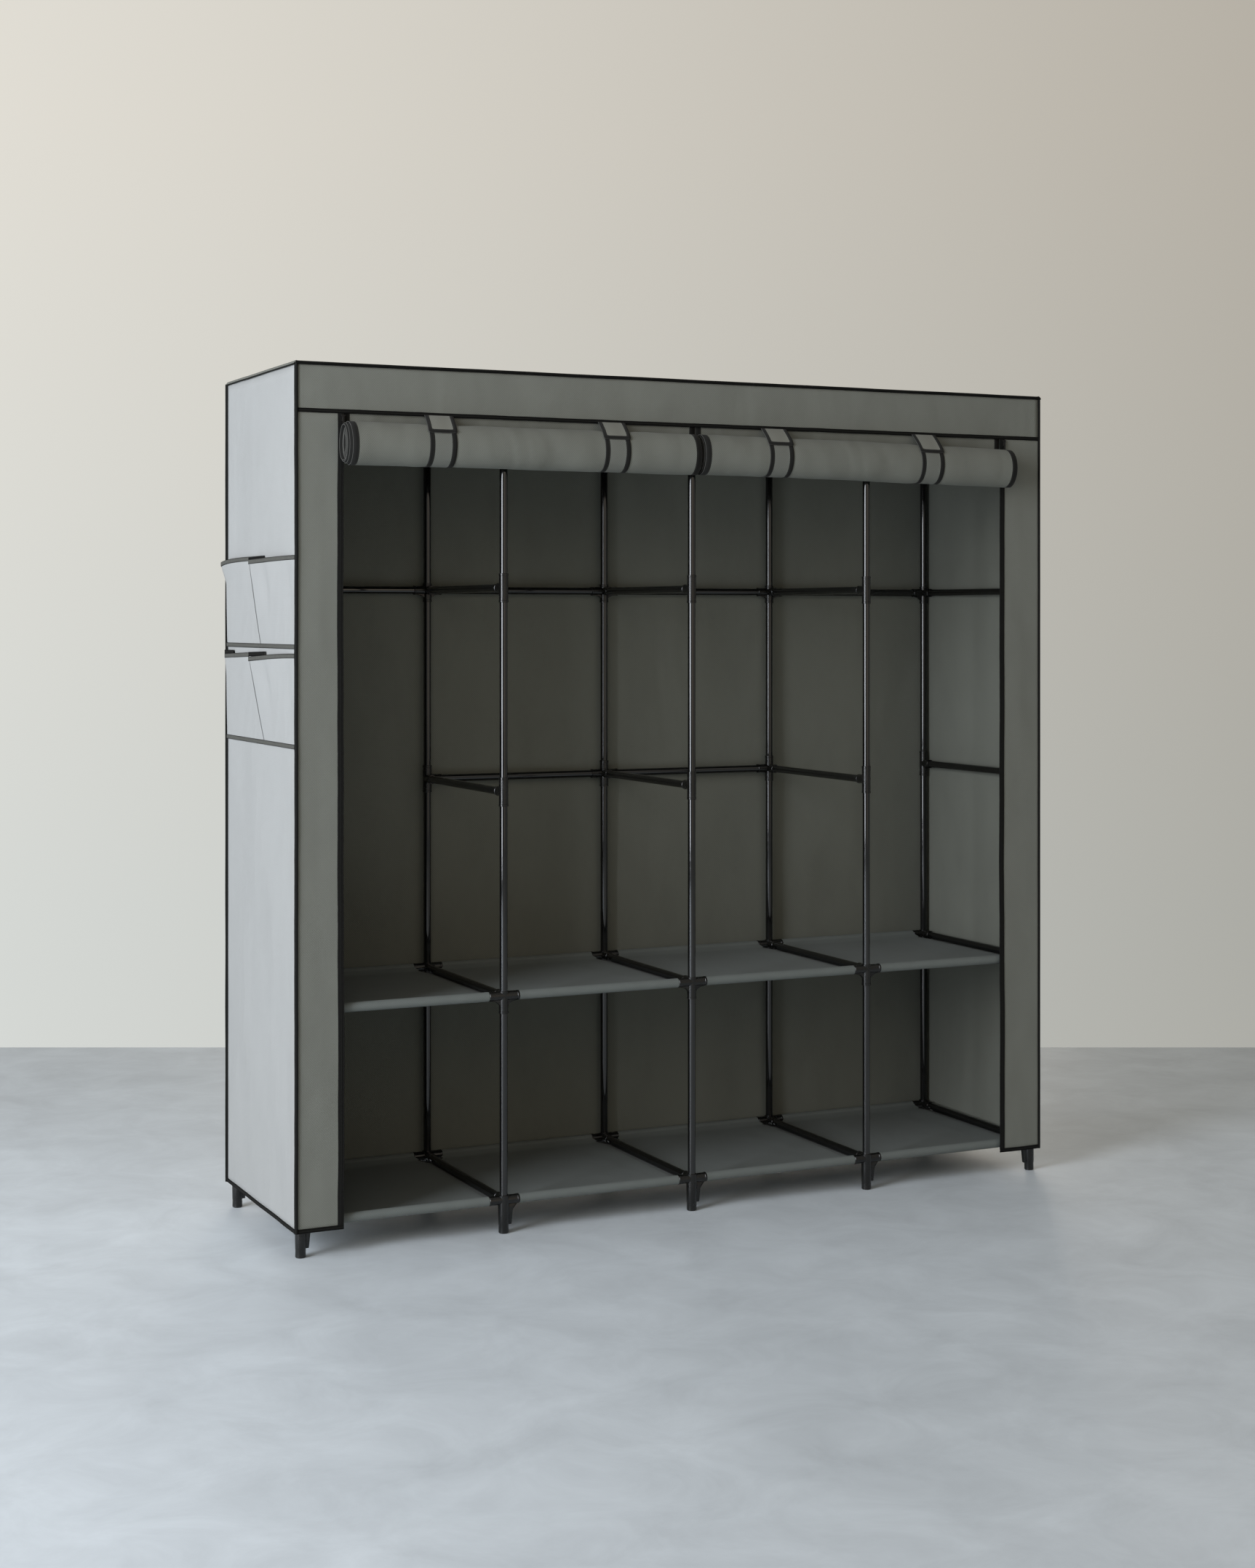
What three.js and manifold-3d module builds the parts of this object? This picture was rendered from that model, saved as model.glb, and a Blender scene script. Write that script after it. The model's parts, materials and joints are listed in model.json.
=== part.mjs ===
// Portable fabric wardrobe: a frame of steel tubes in plastic sockets, two tiers of cloth shelves, and a
// sewn cloth cover with two rolled-up doors, straps and side pockets.
// Millimetres, +Z up, the front faces -Y. The origin is the middle of the floor under the whole object.

import * as THREE from 'three';
import { mergeVertices } from 'three/addons/utils/BufferGeometryUtils.js';
import Module from 'manifold-3d';

// Driving dimensions of the frame. The legs hold the lowest tubes off the floor, and each post is a stack
// of tubes of the post length
const bayPitch = 420;
const bayCount = 4;
const levelCount = 5;
const depthSpacing = 430;
const legHeight = 66;
const postLength = 406;
const tubeRadius = 8;
const socketWall = 1.5;

// Clearance between pieces that touch, and how far a cut runs past a face
const fitGap = 0.3;
const overrunLength = 5;

// Sockets of the connectors, from the post's axis
const armReach = 32;
const barSocketReach = 30;
const sleeveDropLength = 35;
const sleeveHalfLength = 29;
const cornerRiseHeight = 15;
const cornerDropHeight = 25;
const webThickness = 5;
const webReach = 24;
const webDropHeight = 26;

// Feet. The rib's reaches are from the foot's wall, and its arm reach from the post's axis
const footSkirtThickness = 1.2;
const footTaperDepth = 0.5;
const postSeatHeight = 36;
const ribThickness = 7;
const ribLowReach = 5;
const ribHighReach = 9;
const ribLowHeight = 17;
const ribHighHeight = 50;
const ribArmReach = 29;

// Top of the frame: the hanging rods' sockets, and the cap over each post
const rodSocketReach = 18;
const capThickness = 11.4;

// Cover
const clothThickness = 1.5;
const coverBottomHeight = 50;
const coverEndGap = 4.2;
const coverFaceGap = 7.2;
const headerHeight = 90.5;
const stripWidth = 100;

// Shelves
const shelfSleeveWall = 1.1;
const shelfSheetDropHeight = 1.5;
const shelfEdgeGap = 2;
const shelfNotchDepth = 33;

// Rolled doors: an oval spiral of cloth that hangs from the header's seam
const rollDepthRadius = 33.5;
const rollHeightRadius = 41;
const rollDropHeight = 65;
const rollLayerThickness = 3;
const rollPitch = 4.2;
const seamOverlapHeight = 12;
const rollTurns = 4;
const stepsPerTurn = 16;

// Straps: a band round each roll and a tab that closes over it. A strap's place is a share of the way
// from the middle of the doors to their outer edge
const strapPlaceShares = [-0.772, -0.281, 0.212, 0.698];
const bandWidth = 57;
const bandThickness = 1.2;
const tabWidth = 64;
const tabThickness = 1.5;
const bandEndDegrees = 215;
const tabStartDegrees = 240;
const tabEndDegrees = 210;
const tabSteps = 3;

// Zip sliders
const sliderWidth = 9;
const sliderDepth = 3.5;
const sliderHeight = 12;
const sliderEdgeInset = 0.6;
const sliderHeaderGap = 6;
const pullWidth = 5;
const pullDepth = 1.4;
const pullLength = 22;

// Side pockets, two rows of two, each pleated at its rear edge
const pocketTopHeight = 1340;
const pocketHeight = 171;
const pocketGapHeight = 20;
const pocketFootDepth = 8;
const pocketFrontDepth = 9;
const pleatDepth = 22;
const rearPleatDepth = 15;
const pleatSetback = 14;
const pocketWall = 1.5;

// Sides of the faceted tubes and of the sockets round them
const roundSides = 8;

// Sizes worked out from the driving dimensions
const rowHalf = depthSpacing / 2;
const socketRadius = tubeRadius + fitGap + socketWall;
const footTopRadius = socketRadius + footSkirtThickness;
const footRadius = footTopRadius - footTaperDepth;
const columnCount = bayCount + 1;
const frameHalfWidth = (bayCount * bayPitch) / 2;
const coverHalfWidth = frameHalfWidth + socketRadius + coverEndGap + clothThickness;
const coverHalfDepth = rowHalf + socketRadius + coverFaceGap + clothThickness;
const openingHalf = coverHalfWidth - stripWidth;
const levelHeights = Array.from({ length: levelCount }, (_, index) => legHeight + index * postLength);
const [baseLevel, shelfLevel, lowerLevel, upperLevel, topLevel] = levelHeights;
const columnPlaces = Array.from({ length: columnCount }, (_, index) => index * bayPitch - frameHalfWidth);
const strapPlaces = strapPlaceShares.map((share) => share * openingHalf);
const postTop = topLevel + tubeRadius;
const capTop = postTop + fitGap + capThickness;
const roofUnderside = capTop + fitGap;
const coverTop = roofUnderside + clothThickness;
const headerBottom = coverTop - headerHeight;
const rollCentreHeight = headerBottom - rollDropHeight;
const sleeveRadius = tubeRadius + shelfSleeveWall;

// Finishes
const coverCloth = { color: 0x70726c, roughness: 0.9 };
const shelfCloth = { color: 0x5d6361, roughness: 0.9 };
const strapCloth = { color: 0x8a887f, roughness: 0.85 };
const tubePaint = { color: 0x0c0c0d, roughness: 0.25, metalness: 0.6 };
const blackPlastic = { color: 0x151514, roughness: 0.45 };
const zipMetal = { color: 0x1c1c1c, roughness: 0.35, metalness: 0.8 };

const wasm = await Module();
wasm.setup();

// A closed geometry as a solid that can be joined and cut
function solidOf(geometry) {
  geometry.deleteAttribute('normal');
  geometry.deleteAttribute('uv');
  const merged = mergeVertices(geometry);
  const mesh = new wasm.Mesh({
    numProp: 3,
    vertProperties: new Float32Array(merged.attributes.position.array),
    triVerts: new Uint32Array(merged.index.array),
  });
  return new wasm.Manifold(mesh);
}

// The geometry of a joined or cut solid
function geometryOf(solid) {
  const mesh = solid.getMesh();
  const geometry = new THREE.BufferGeometry();
  geometry.setAttribute('position', new THREE.BufferAttribute(mesh.vertProperties, 3));
  geometry.setIndex(new THREE.BufferAttribute(mesh.triVerts, 1));
  geometry.computeVertexNormals();
  return geometry;
}

function join(solids) {
  return solids.reduce((whole, solid) => whole.add(solid));
}

// A round bar from one point to another, which may taper
function bar(from, to, radius, endRadius = radius) {
  const start = new THREE.Vector3(...from);
  const run = new THREE.Vector3(...to).sub(start);
  const geometry = new THREE.CylinderGeometry(endRadius, radius, run.length(), roundSides);
  const turn = new THREE.Quaternion().setFromUnitVectors(new THREE.Vector3(0, 1, 0), run.clone().normalize());
  geometry.applyQuaternion(turn);
  const middle = start.addScaledVector(run, 0.5);
  geometry.translate(middle.x, middle.y, middle.z);
  return geometry;
}

// A length of socket, as a solid that joins the rest of its connector
function socket(from, to) {
  return solidOf(bar(from, to, socketRadius));
}

function box(low, high) {
  const size = high.map((value, axis) => value - low[axis]);
  const geometry = new THREE.BoxGeometry(...size);
  geometry.translate(...high.map((value, axis) => (value + low[axis]) / 2));
  return geometry;
}

function shapeOf(points) {
  return new THREE.Shape(points.map(([across, up]) => new THREE.Vector2(across, up)));
}

// An outline of X and Y points, raised along Z
function raised(points, low, high) {
  const geometry = new THREE.ExtrudeGeometry(shapeOf(points), { depth: high - low, bevelEnabled: false });
  geometry.translate(0, 0, low);
  return geometry;
}

// An outline of X and Z points, drawn out along Y
function drawnAlongY(points, low, high) {
  const geometry = new THREE.ExtrudeGeometry(shapeOf(points), { depth: high - low, bevelEnabled: false });
  geometry.rotateX(Math.PI / 2);
  geometry.translate(0, high, 0);
  return geometry;
}

// An outline of Y and Z points, drawn out along X
function drawnAlongX(points, low, high) {
  const geometry = new THREE.ExtrudeGeometry(shapeOf(points), { depth: high - low, bevelEnabled: false });
  const axes = [new THREE.Vector3(0, 1, 0), new THREE.Vector3(0, 0, 1), new THREE.Vector3(1, 0, 0)];
  geometry.applyMatrix4(new THREE.Matrix4().makeBasis(...axes));
  geometry.translate(low, 0, 0);
  return geometry;
}

const wardrobe = new THREE.Group();

function add(name, geometry, finish) {
  const mesh = new THREE.Mesh(geometry, new THREE.MeshStandardMaterial(finish));
  mesh.name = name;
  wardrobe.add(mesh);
}

// The sides, -1 or 1, on which a column has a neighbour to carry a rail to
function sidesOf(column, firstBay = 0, lastBay = bayCount - 1) {
  const sides = [];
  if (column - 1 >= firstBay && column - 1 <= lastBay) sides.push(-1);
  if (column >= firstBay && column <= lastBay) sides.push(1);
  return sides;
}

// The plastic connector round a post: its sleeve, rail sockets on the given sides, and crossbar socket
function connector(x, y, z, low, high, sides, webbed) {
  const solids = [socket([x, y, low], [x, y, high])];
  const inward = -Math.sign(y);
  solids.push(socket([x, y, z], [x, y + inward * barSocketReach, z]));
  if (sides.length) {
    const [from, to] = [Math.min(0, ...sides), Math.max(0, ...sides)];
    solids.push(socket([x + from * armReach, y, z], [x + to * armReach, y, z]));
    if (webbed) {
      const web = [[x + from * webReach, z], [x, z - webDropHeight], [x + to * webReach, z]];
      solids.push(solidOf(drawnAlongY(web, y - webThickness / 2, y + webThickness / 2)));
    }
  }
  return join(solids);
}

// The foot under a base connector: a tapered leg with a rib that runs up into one rail socket
function foot(x, y, side) {
  const leg = bar([x, y, 0], [x, y, baseLevel + socketRadius], footRadius, footTopRadius);
  const rib = [
    [x, ribLowHeight],
    [x + side * (footRadius + ribLowReach), ribLowHeight],
    [x + side * (footRadius + ribHighReach), ribHighHeight],
    [x + side * ribArmReach, baseLevel - socketRadius / 2],
    [x + side * ribArmReach, baseLevel],
    [x, baseLevel],
  ];
  return solidOf(leg).add(solidOf(drawnAlongY(rib, y - ribThickness / 2, y + ribThickness / 2)));
}

// A crossbar with the connector at each end, bored for its two posts
function crossbar(x, z, ends, boreLow, boreHigh) {
  let solid = join([solidOf(bar([x, -rowHalf, z], [x, rowHalf, z], tubeRadius)), ...ends]);
  for (const y of [-rowHalf, rowHalf]) {
    solid = solid.subtract(solidOf(bar([x, y, boreLow], [x, y, boreHigh], tubeRadius + fitGap)));
  }
  return geometryOf(solid);
}

function addPosts() {
  columnPlaces.forEach((x, column) => {
    for (const [row, y] of [['front', -rowHalf], ['back', rowHalf]]) {
      const tube = bar([x, y, postSeatHeight + fitGap], [x, y, postTop], tubeRadius);
      add(`${row}_post_${column + 1}`, tube, tubePaint);
    }
  });
}

function addBaseCrossbars() {
  columnPlaces.forEach((x, column) => {
    const sides = sidesOf(column);
    const ribSide = sides.at(-1);
    const top = baseLevel + socketRadius;
    const ends = [-rowHalf, rowHalf].map((y) =>
      connector(x, y, baseLevel, baseLevel, top, sides, false).add(foot(x, y, ribSide)));
    const geometry = crossbar(x, baseLevel, ends, postSeatHeight, top + overrunLength);
    add(`foot_crossbar_${column + 1}`, geometry, blackPlastic);
  });
}

function addShelfCrossbars() {
  columnPlaces.forEach((x, column) => {
    const low = shelfLevel - sleeveDropLength;
    const high = shelfLevel + socketRadius;
    const sides = sidesOf(column);
    const ends = [-rowHalf, rowHalf].map((y) => connector(x, y, shelfLevel, low, high, sides, true));
    const geometry = crossbar(x, shelfLevel, ends, low - overrunLength, high + overrunLength);
    add(`shelf_crossbar_${column + 1}`, geometry, blackPlastic);
  });
}

// The two levels above the shelves have rails at the back only: in every bay at the upper level, and in
// the bays between the first and last inner columns at the lower level
function addOpenCrossbars() {
  const rail = { lower: [1, bayCount - 2], upper: [0, bayCount - 1] };
  const backSleeve = {
    lower: [sleeveHalfLength, sleeveHalfLength],
    upper: [cornerDropHeight, cornerRiseHeight],
  };
  for (const [level, z] of [['lower', lowerLevel], ['upper', upperLevel]]) {
    const [drop, rise] = backSleeve[level];
    columnPlaces.forEach((x, column) => {
      const sides = sidesOf(column, ...rail[level]);
      const front = connector(x, -rowHalf, z, z - sleeveHalfLength, z + sleeveHalfLength, [], false);
      const back = connector(x, rowHalf, z, z - drop, z + rise, sides, level === 'upper');
      const reach = sleeveHalfLength + overrunLength;
      const geometry = crossbar(x, z, [front, back], z - reach, z + reach);
      add(`${level}_crossbar_${column + 1}`, geometry, blackPlastic);
    });
    for (let bay = rail[level][0]; bay <= rail[level][1]; bay += 1) {
      const from = columnPlaces[bay] + armReach + fitGap;
      const to = columnPlaces[bay + 1] - armReach - fitGap;
      const tube = bar([from, rowHalf, z], [to, rowHalf, z], tubeRadius);
      add(`${level}_back_rail_${bay + 1}`, tube, tubePaint);
    }
  }
}

// The top of the frame: capped connectors, crossbars, front and back rails, and the hanging rods
function addTopFrame() {
  const low = topLevel - sleeveDropLength;
  const solids = [];
  for (const y of [-rowHalf, 0, rowHalf]) {
    solids.push(solidOf(bar([-frameHalfWidth, y, topLevel], [frameHalfWidth, y, topLevel], tubeRadius)));
  }
  columnPlaces.forEach((x, column) => {
    const sides = sidesOf(column);
    solids.push(solidOf(bar([x, -rowHalf, topLevel], [x, rowHalf, topLevel], tubeRadius)));
    solids.push(connector(x, -rowHalf, topLevel, low, capTop, sides, false));
    solids.push(connector(x, rowHalf, topLevel, low, capTop, sides, false));
    const [from, to] = [Math.min(0, ...sides), Math.max(0, ...sides)];
    solids.push(socket([x + from * rodSocketReach, 0, topLevel], [x + to * rodSocketReach, 0, topLevel]));
  });
  let solid = join(solids);
  for (const x of columnPlaces) {
    for (const y of [-rowHalf, rowHalf]) {
      const bore = bar([x, y, low - overrunLength], [x, y, postTop + fitGap], tubeRadius + fitGap);
      solid = solid.subtract(solidOf(bore));
    }
  }
  add('top_frame', geometryOf(solid), blackPlastic);
}

// A shelf: a sheet whose corners are cut round the connectors, with a sleeve round each of its rails
function shelfGeometry(bay, z) {
  const left = columnPlaces[bay];
  const right = columnPlaces[bay + 1];
  const edge = tubeRadius + shelfEdgeGap;
  const sleeveEnd = armReach + fitGap;
  const notched = rowHalf - shelfNotchDepth;
  const outline = [
    [left + sleeveEnd, -rowHalf],
    [right - sleeveEnd, -rowHalf],
    [right - sleeveEnd, -rowHalf + sleeveRadius],
    [right - edge, -notched],
    [right - edge, notched],
    [right - sleeveEnd, rowHalf - sleeveRadius],
    [right - sleeveEnd, rowHalf],
    [left + sleeveEnd, rowHalf],
    [left + sleeveEnd, rowHalf - sleeveRadius],
    [left + edge, notched],
    [left + edge, -notched],
    [left + sleeveEnd, -rowHalf + sleeveRadius],
  ];
  const sheetTop = z + sleeveRadius - shelfSheetDropHeight;
  const solids = [solidOf(raised(outline, sheetTop - clothThickness, sheetTop))];
  for (const y of [-rowHalf, rowHalf]) {
    solids.push(solidOf(bar([left + sleeveEnd, y, z], [right - sleeveEnd, y, z], sleeveRadius)));
  }
  return geometryOf(join(solids));
}

function addShelves() {
  for (const [tier, z] of [['bottom', baseLevel], ['middle', shelfLevel]]) {
    for (let bay = 0; bay < bayCount; bay += 1) {
      add(`${tier}_shelf_${bay + 1}`, shelfGeometry(bay, z), shelfCloth);
    }
  }
}

function addCover() {
  const inner = coverHalfDepth - clothThickness;
  const wallTop = roofUnderside - fitGap;
  const sideLow = -inner + fitGap;
  const sideHigh = inner - fitGap;
  const sideInner = coverHalfWidth - clothThickness;
  const roofLow = [-coverHalfWidth, -coverHalfDepth, roofUnderside];
  const roof = box(roofLow, [coverHalfWidth, coverHalfDepth, coverTop]);
  add('cover_roof', roof, coverCloth);
  const back = box([-coverHalfWidth, inner, coverBottomHeight], [coverHalfWidth, coverHalfDepth, wallTop]);
  add('cover_back', back, coverCloth);
  const left = box([-coverHalfWidth, sideLow, coverBottomHeight], [-sideInner, sideHigh, wallTop]);
  add('cover_left_side', left, coverCloth);
  const right = box([sideInner, sideLow, coverBottomHeight], [coverHalfWidth, sideHigh, wallTop]);
  add('cover_right_side', right, coverCloth);
  const front = [
    [-coverHalfWidth, coverBottomHeight],
    [-openingHalf, coverBottomHeight],
    [-openingHalf, headerBottom],
    [openingHalf, headerBottom],
    [openingHalf, coverBottomHeight],
    [coverHalfWidth, coverBottomHeight],
    [coverHalfWidth, wallTop],
    [-coverHalfWidth, wallTop],
  ];
  add('cover_front', drawnAlongY(front, -coverHalfDepth, -inner), coverCloth);
}

// The door's cloth runs down behind the header's seam, round the back, bottom and front of the roll, and
// inward by one pitch for each turn
const seamPlane = -coverHalfDepth + clothThickness + fitGap;
const rollBack = seamPlane + rollLayerThickness;
const rollCentreDepth = rollBack - rollDepthRadius;

// A point on the roll's cloth, after a turn counted in degrees from its back, set off outward
function rollPoint(degrees, offset) {
  const angle = THREE.MathUtils.degToRad(-degrees);
  const inset = offset - (rollPitch * degrees) / 360;
  return [
    rollCentreDepth + (rollDepthRadius + inset) * Math.cos(angle),
    rollCentreHeight + (rollHeightRadius + inset) * Math.sin(angle),
  ];
}

function rollArc(fromDegrees, toDegrees, steps, offset) {
  return Array.from({ length: steps + 1 }, (_, step) =>
    rollPoint(THREE.MathUtils.lerp(fromDegrees, toDegrees, step / steps), offset));
}

function rollSolid(low, high) {
  const seamTop = headerBottom + seamOverlapHeight;
  const steps = rollTurns * stepsPerTurn;
  const outline = [
    [rollBack, seamTop],
    ...rollArc(0, rollTurns * 360, steps, 0),
    ...rollArc(0, rollTurns * 360, steps, -rollLayerThickness).reverse(),
    [seamPlane, seamTop],
  ];
  return solidOf(drawnAlongX(outline, low, high));
}

// A strap's band: from the seam down behind the roll, under it and up its front
function bandSolid(x) {
  const seamTop = headerBottom + seamOverlapHeight;
  const steps = Math.round((stepsPerTurn * bandEndDegrees) / 360);
  const sunk = -rollLayerThickness / 2;
  const outline = [
    [rollBack + bandThickness, seamTop],
    ...rollArc(0, bandEndDegrees, steps, bandThickness),
    ...rollArc(0, bandEndDegrees, steps, sunk).reverse(),
    [rollBack + sunk, seamTop],
  ];
  return solidOf(drawnAlongX(outline, x - bandWidth / 2, x + bandWidth / 2));
}

function addDoors() {
  for (const [name, low, high] of [
    ['left', -openingHalf + fitGap, -fitGap],
    ['right', fitGap, openingHalf - fitGap],
  ]) {
    const bands = strapPlaces.filter((x) => x > low && x < high).map(bandSolid);
    add(`rolled_door_${name}`, geometryOf(join([rollSolid(low, high), ...bands])), coverCloth);
  }
}

// A strap's tab: from its hinge line on the header's seam to the roll, and down the roll's front
const tabRest = bandThickness + fitGap;
const tabHinge = [-coverHalfDepth - fitGap - tabThickness, headerBottom];

function addTabs() {
  const under = rollArc(tabStartDegrees, tabEndDegrees, tabSteps, tabRest);
  const over = rollArc(tabStartDegrees, tabEndDegrees, tabSteps, tabRest + tabThickness);
  const first = under[0];
  const run = Math.hypot(first[0] - tabHinge[0], first[1] - tabHinge[1]);
  const normal = [-(first[1] - tabHinge[1]) / run, (first[0] - tabHinge[0]) / run];
  const half = tabThickness / 2;
  const lower = [tabHinge[0] + normal[0] * half, tabHinge[1] + normal[1] * half];
  const upper = [tabHinge[0] - normal[0] * half, tabHinge[1] - normal[1] * half];
  const outline = [lower, ...under, ...over.reverse(), upper];
  strapPlaces.forEach((x, index) => {
    const tab = drawnAlongX(outline, x - tabWidth / 2, x + tabWidth / 2);
    add(`strap_tab_${index + 1}`, tab, strapCloth);
  });
}

// A zip slider on the inner edge of each front strip, with its pull hanging from it
function addSliders() {
  const back = -coverHalfDepth - fitGap;
  const top = headerBottom - sliderHeaderGap;
  for (const [name, side] of [['left', -1], ['right', 1]]) {
    const middle = side * (openingHalf + sliderEdgeInset + sliderWidth / 2);
    const body = box(
      [middle - sliderWidth / 2, back - sliderDepth, top - sliderHeight],
      [middle + sliderWidth / 2, back, top],
    );
    const pull = box(
      [middle - pullWidth / 2, back - sliderDepth, top - sliderHeight / 2 - pullLength],
      [middle + pullWidth / 2, back - sliderDepth + pullDepth, top - sliderHeight / 2],
    );
    add(`zip_slider_${name}`, geometryOf(solidOf(body).add(solidOf(pull))), zipMetal);
  }
}

// A row of two side pockets. In plan each pocket starts near the panel at its front edge and swells to
// its pleat at the rear; seen from the front it tapers to its foot seam. Both outlines are met in one solid
function pocketPlan(inset) {
  const wall = -coverHalfWidth - fitGap;
  const face = (depth) => wall - depth + inset;
  const back = inset > 0 ? wall + overrunLength : wall;
  return [
    [
      [back, -coverHalfDepth + inset],
      [face(pocketFrontDepth), -coverHalfDepth + inset],
      [face(pleatDepth), -pleatSetback / 2 - inset],
      [back, -pleatSetback / 2 - inset],
    ],
    [
      [back, -pleatSetback / 2 + inset],
      [face(pocketFrontDepth), -pleatSetback / 2 + inset],
      [face(rearPleatDepth), coverHalfDepth - inset],
      [back, coverHalfDepth - inset],
    ],
  ];
}

function pocketGeometry(top) {
  const wall = -coverHalfWidth - fitGap;
  const low = top - pocketHeight;
  const side = (inset, cut) => [
    [wall + cut, low + inset],
    [wall - pocketFootDepth + inset, low + inset],
    [wall - pleatDepth + inset, top],
    [wall - pleatDepth + inset, top + cut],
    [wall + cut, top + cut],
  ];
  const outerSide = side(0, 0).slice(0, 3);
  const outer = solidOf(drawnAlongY([...outerSide, [wall, top]], -coverHalfDepth, coverHalfDepth));
  const hollow = solidOf(drawnAlongY(side(pocketWall, overrunLength), -coverHalfDepth, coverHalfDepth));
  const plan = join(pocketPlan(0).map((points) => solidOf(raised(points, low, top))));
  let solid = outer.intersect(plan);
  for (const points of pocketPlan(pocketWall)) {
    solid = solid.subtract(hollow.intersect(solidOf(raised(points, low, top + overrunLength))));
  }
  return geometryOf(solid);
}

function addPockets() {
  add('pocket_row_upper', pocketGeometry(pocketTopHeight), coverCloth);
  add('pocket_row_lower', pocketGeometry(pocketTopHeight - pocketHeight - pocketGapHeight), coverCloth);
}

addPosts();
addBaseCrossbars();
addShelfCrossbars();
addOpenCrossbars();
addTopFrame();
addShelves();
addCover();
addDoors();
addTabs();
addSliders();
addPockets();

// The pockets reach past the left side and the tabs past the front, so the middle of the whole object
// lies off the frame's own middle
const reachLeft = coverHalfWidth + fitGap + pleatDepth;
const bounds = new THREE.Box3().setFromObject(wardrobe);
wardrobe.position.set((reachLeft - coverHalfWidth) / 2, -(bounds.min.y + bounds.max.y) / 2, 0);

export default wardrobe;
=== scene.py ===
"""Looks of a portable fabric wardrobe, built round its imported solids.

The frame is enamelled steel tube in moulded plastic connectors. Sheets of spunbond cloth hang round and
in it, bound with dark tape. Lengths are metres in the part's own frame: +X runs along the width, the front
faces -Y and +Z is up. Places come from the solids; the sizes of trim, folds and stitches are fields of the
classes below, written in millimetres through MM.
"""

from __future__ import annotations

import json
import logging
import math
from dataclasses import dataclass
from enum import Enum
from typing import Callable, ClassVar

import bmesh
import bpy
import numpy as np
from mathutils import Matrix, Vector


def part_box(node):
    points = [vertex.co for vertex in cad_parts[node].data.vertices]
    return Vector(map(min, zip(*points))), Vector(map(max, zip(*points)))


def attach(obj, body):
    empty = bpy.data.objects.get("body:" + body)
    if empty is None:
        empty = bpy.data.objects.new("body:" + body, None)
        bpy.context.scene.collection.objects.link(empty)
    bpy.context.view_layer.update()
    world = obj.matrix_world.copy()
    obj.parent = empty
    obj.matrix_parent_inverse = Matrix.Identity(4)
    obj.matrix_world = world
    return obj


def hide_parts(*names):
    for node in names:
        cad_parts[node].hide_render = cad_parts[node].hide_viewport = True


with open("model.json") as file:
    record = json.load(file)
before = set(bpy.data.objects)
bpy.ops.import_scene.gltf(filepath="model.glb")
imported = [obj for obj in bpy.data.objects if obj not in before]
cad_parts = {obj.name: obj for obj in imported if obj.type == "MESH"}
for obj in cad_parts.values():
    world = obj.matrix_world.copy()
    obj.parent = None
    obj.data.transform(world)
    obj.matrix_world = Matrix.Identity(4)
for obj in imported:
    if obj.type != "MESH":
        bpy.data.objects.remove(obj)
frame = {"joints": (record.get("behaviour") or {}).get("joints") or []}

LOG = logging.getLogger("wardrobe")
MM = 0.001
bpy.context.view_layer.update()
Array = np.ndarray
Pair = tuple[float, float]
Tree = bpy.types.NodeTree
Socket = bpy.types.NodeSocket
# Directions in the part's own frame, seen from the front.
RIGHT, UP, FORWARD = (1.0, 0.0, 0.0), (0.0, 0.0, 1.0), (0.0, -1.0, 0.0)


# Shapes: grids of points worked out as whole arrays


@dataclass(frozen=True)
class Patch:
    """A grid of quads before it goes into a mesh.

    Attributes:
        points: rows x columns x 3 array of places.
        pattern: rows x columns x 2 array of metres along and across the piece, for weave and stitches.
        edge: rows x columns array of metres to the nearest bound edge.
    """

    points: Array
    pattern: Array
    edge: Array


def patch(points: Array, pattern: Array | None = None, edge: Array | None = None) -> Patch:
    """Completes a grid with pattern coordinates and edge distances.

    Args:
        points: rows x columns x 3 array of places.
        pattern: rows x columns x 2 array in metres. By default it is the running length of each row and
            column: the sum of the steps between neighbouring points.
        edge: rows x columns array in metres, by default far from any edge.

    Returns:
        The finished patch.
    """
    rows, columns = points.shape[:2]
    if pattern is None:
        across = np.linalg.norm(np.diff(points, axis=1), axis=2).cumsum(axis=1)
        along = np.linalg.norm(np.diff(points, axis=0), axis=2).cumsum(axis=0)
        across = np.concatenate([np.zeros((rows, 1)), across], axis=1)
        along = np.concatenate([np.zeros((1, columns)), along], axis=0)
        pattern = np.stack([across, along], axis=2)
    if edge is None:
        edge = np.ones((rows, columns))
    return Patch(points, pattern, edge)


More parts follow.
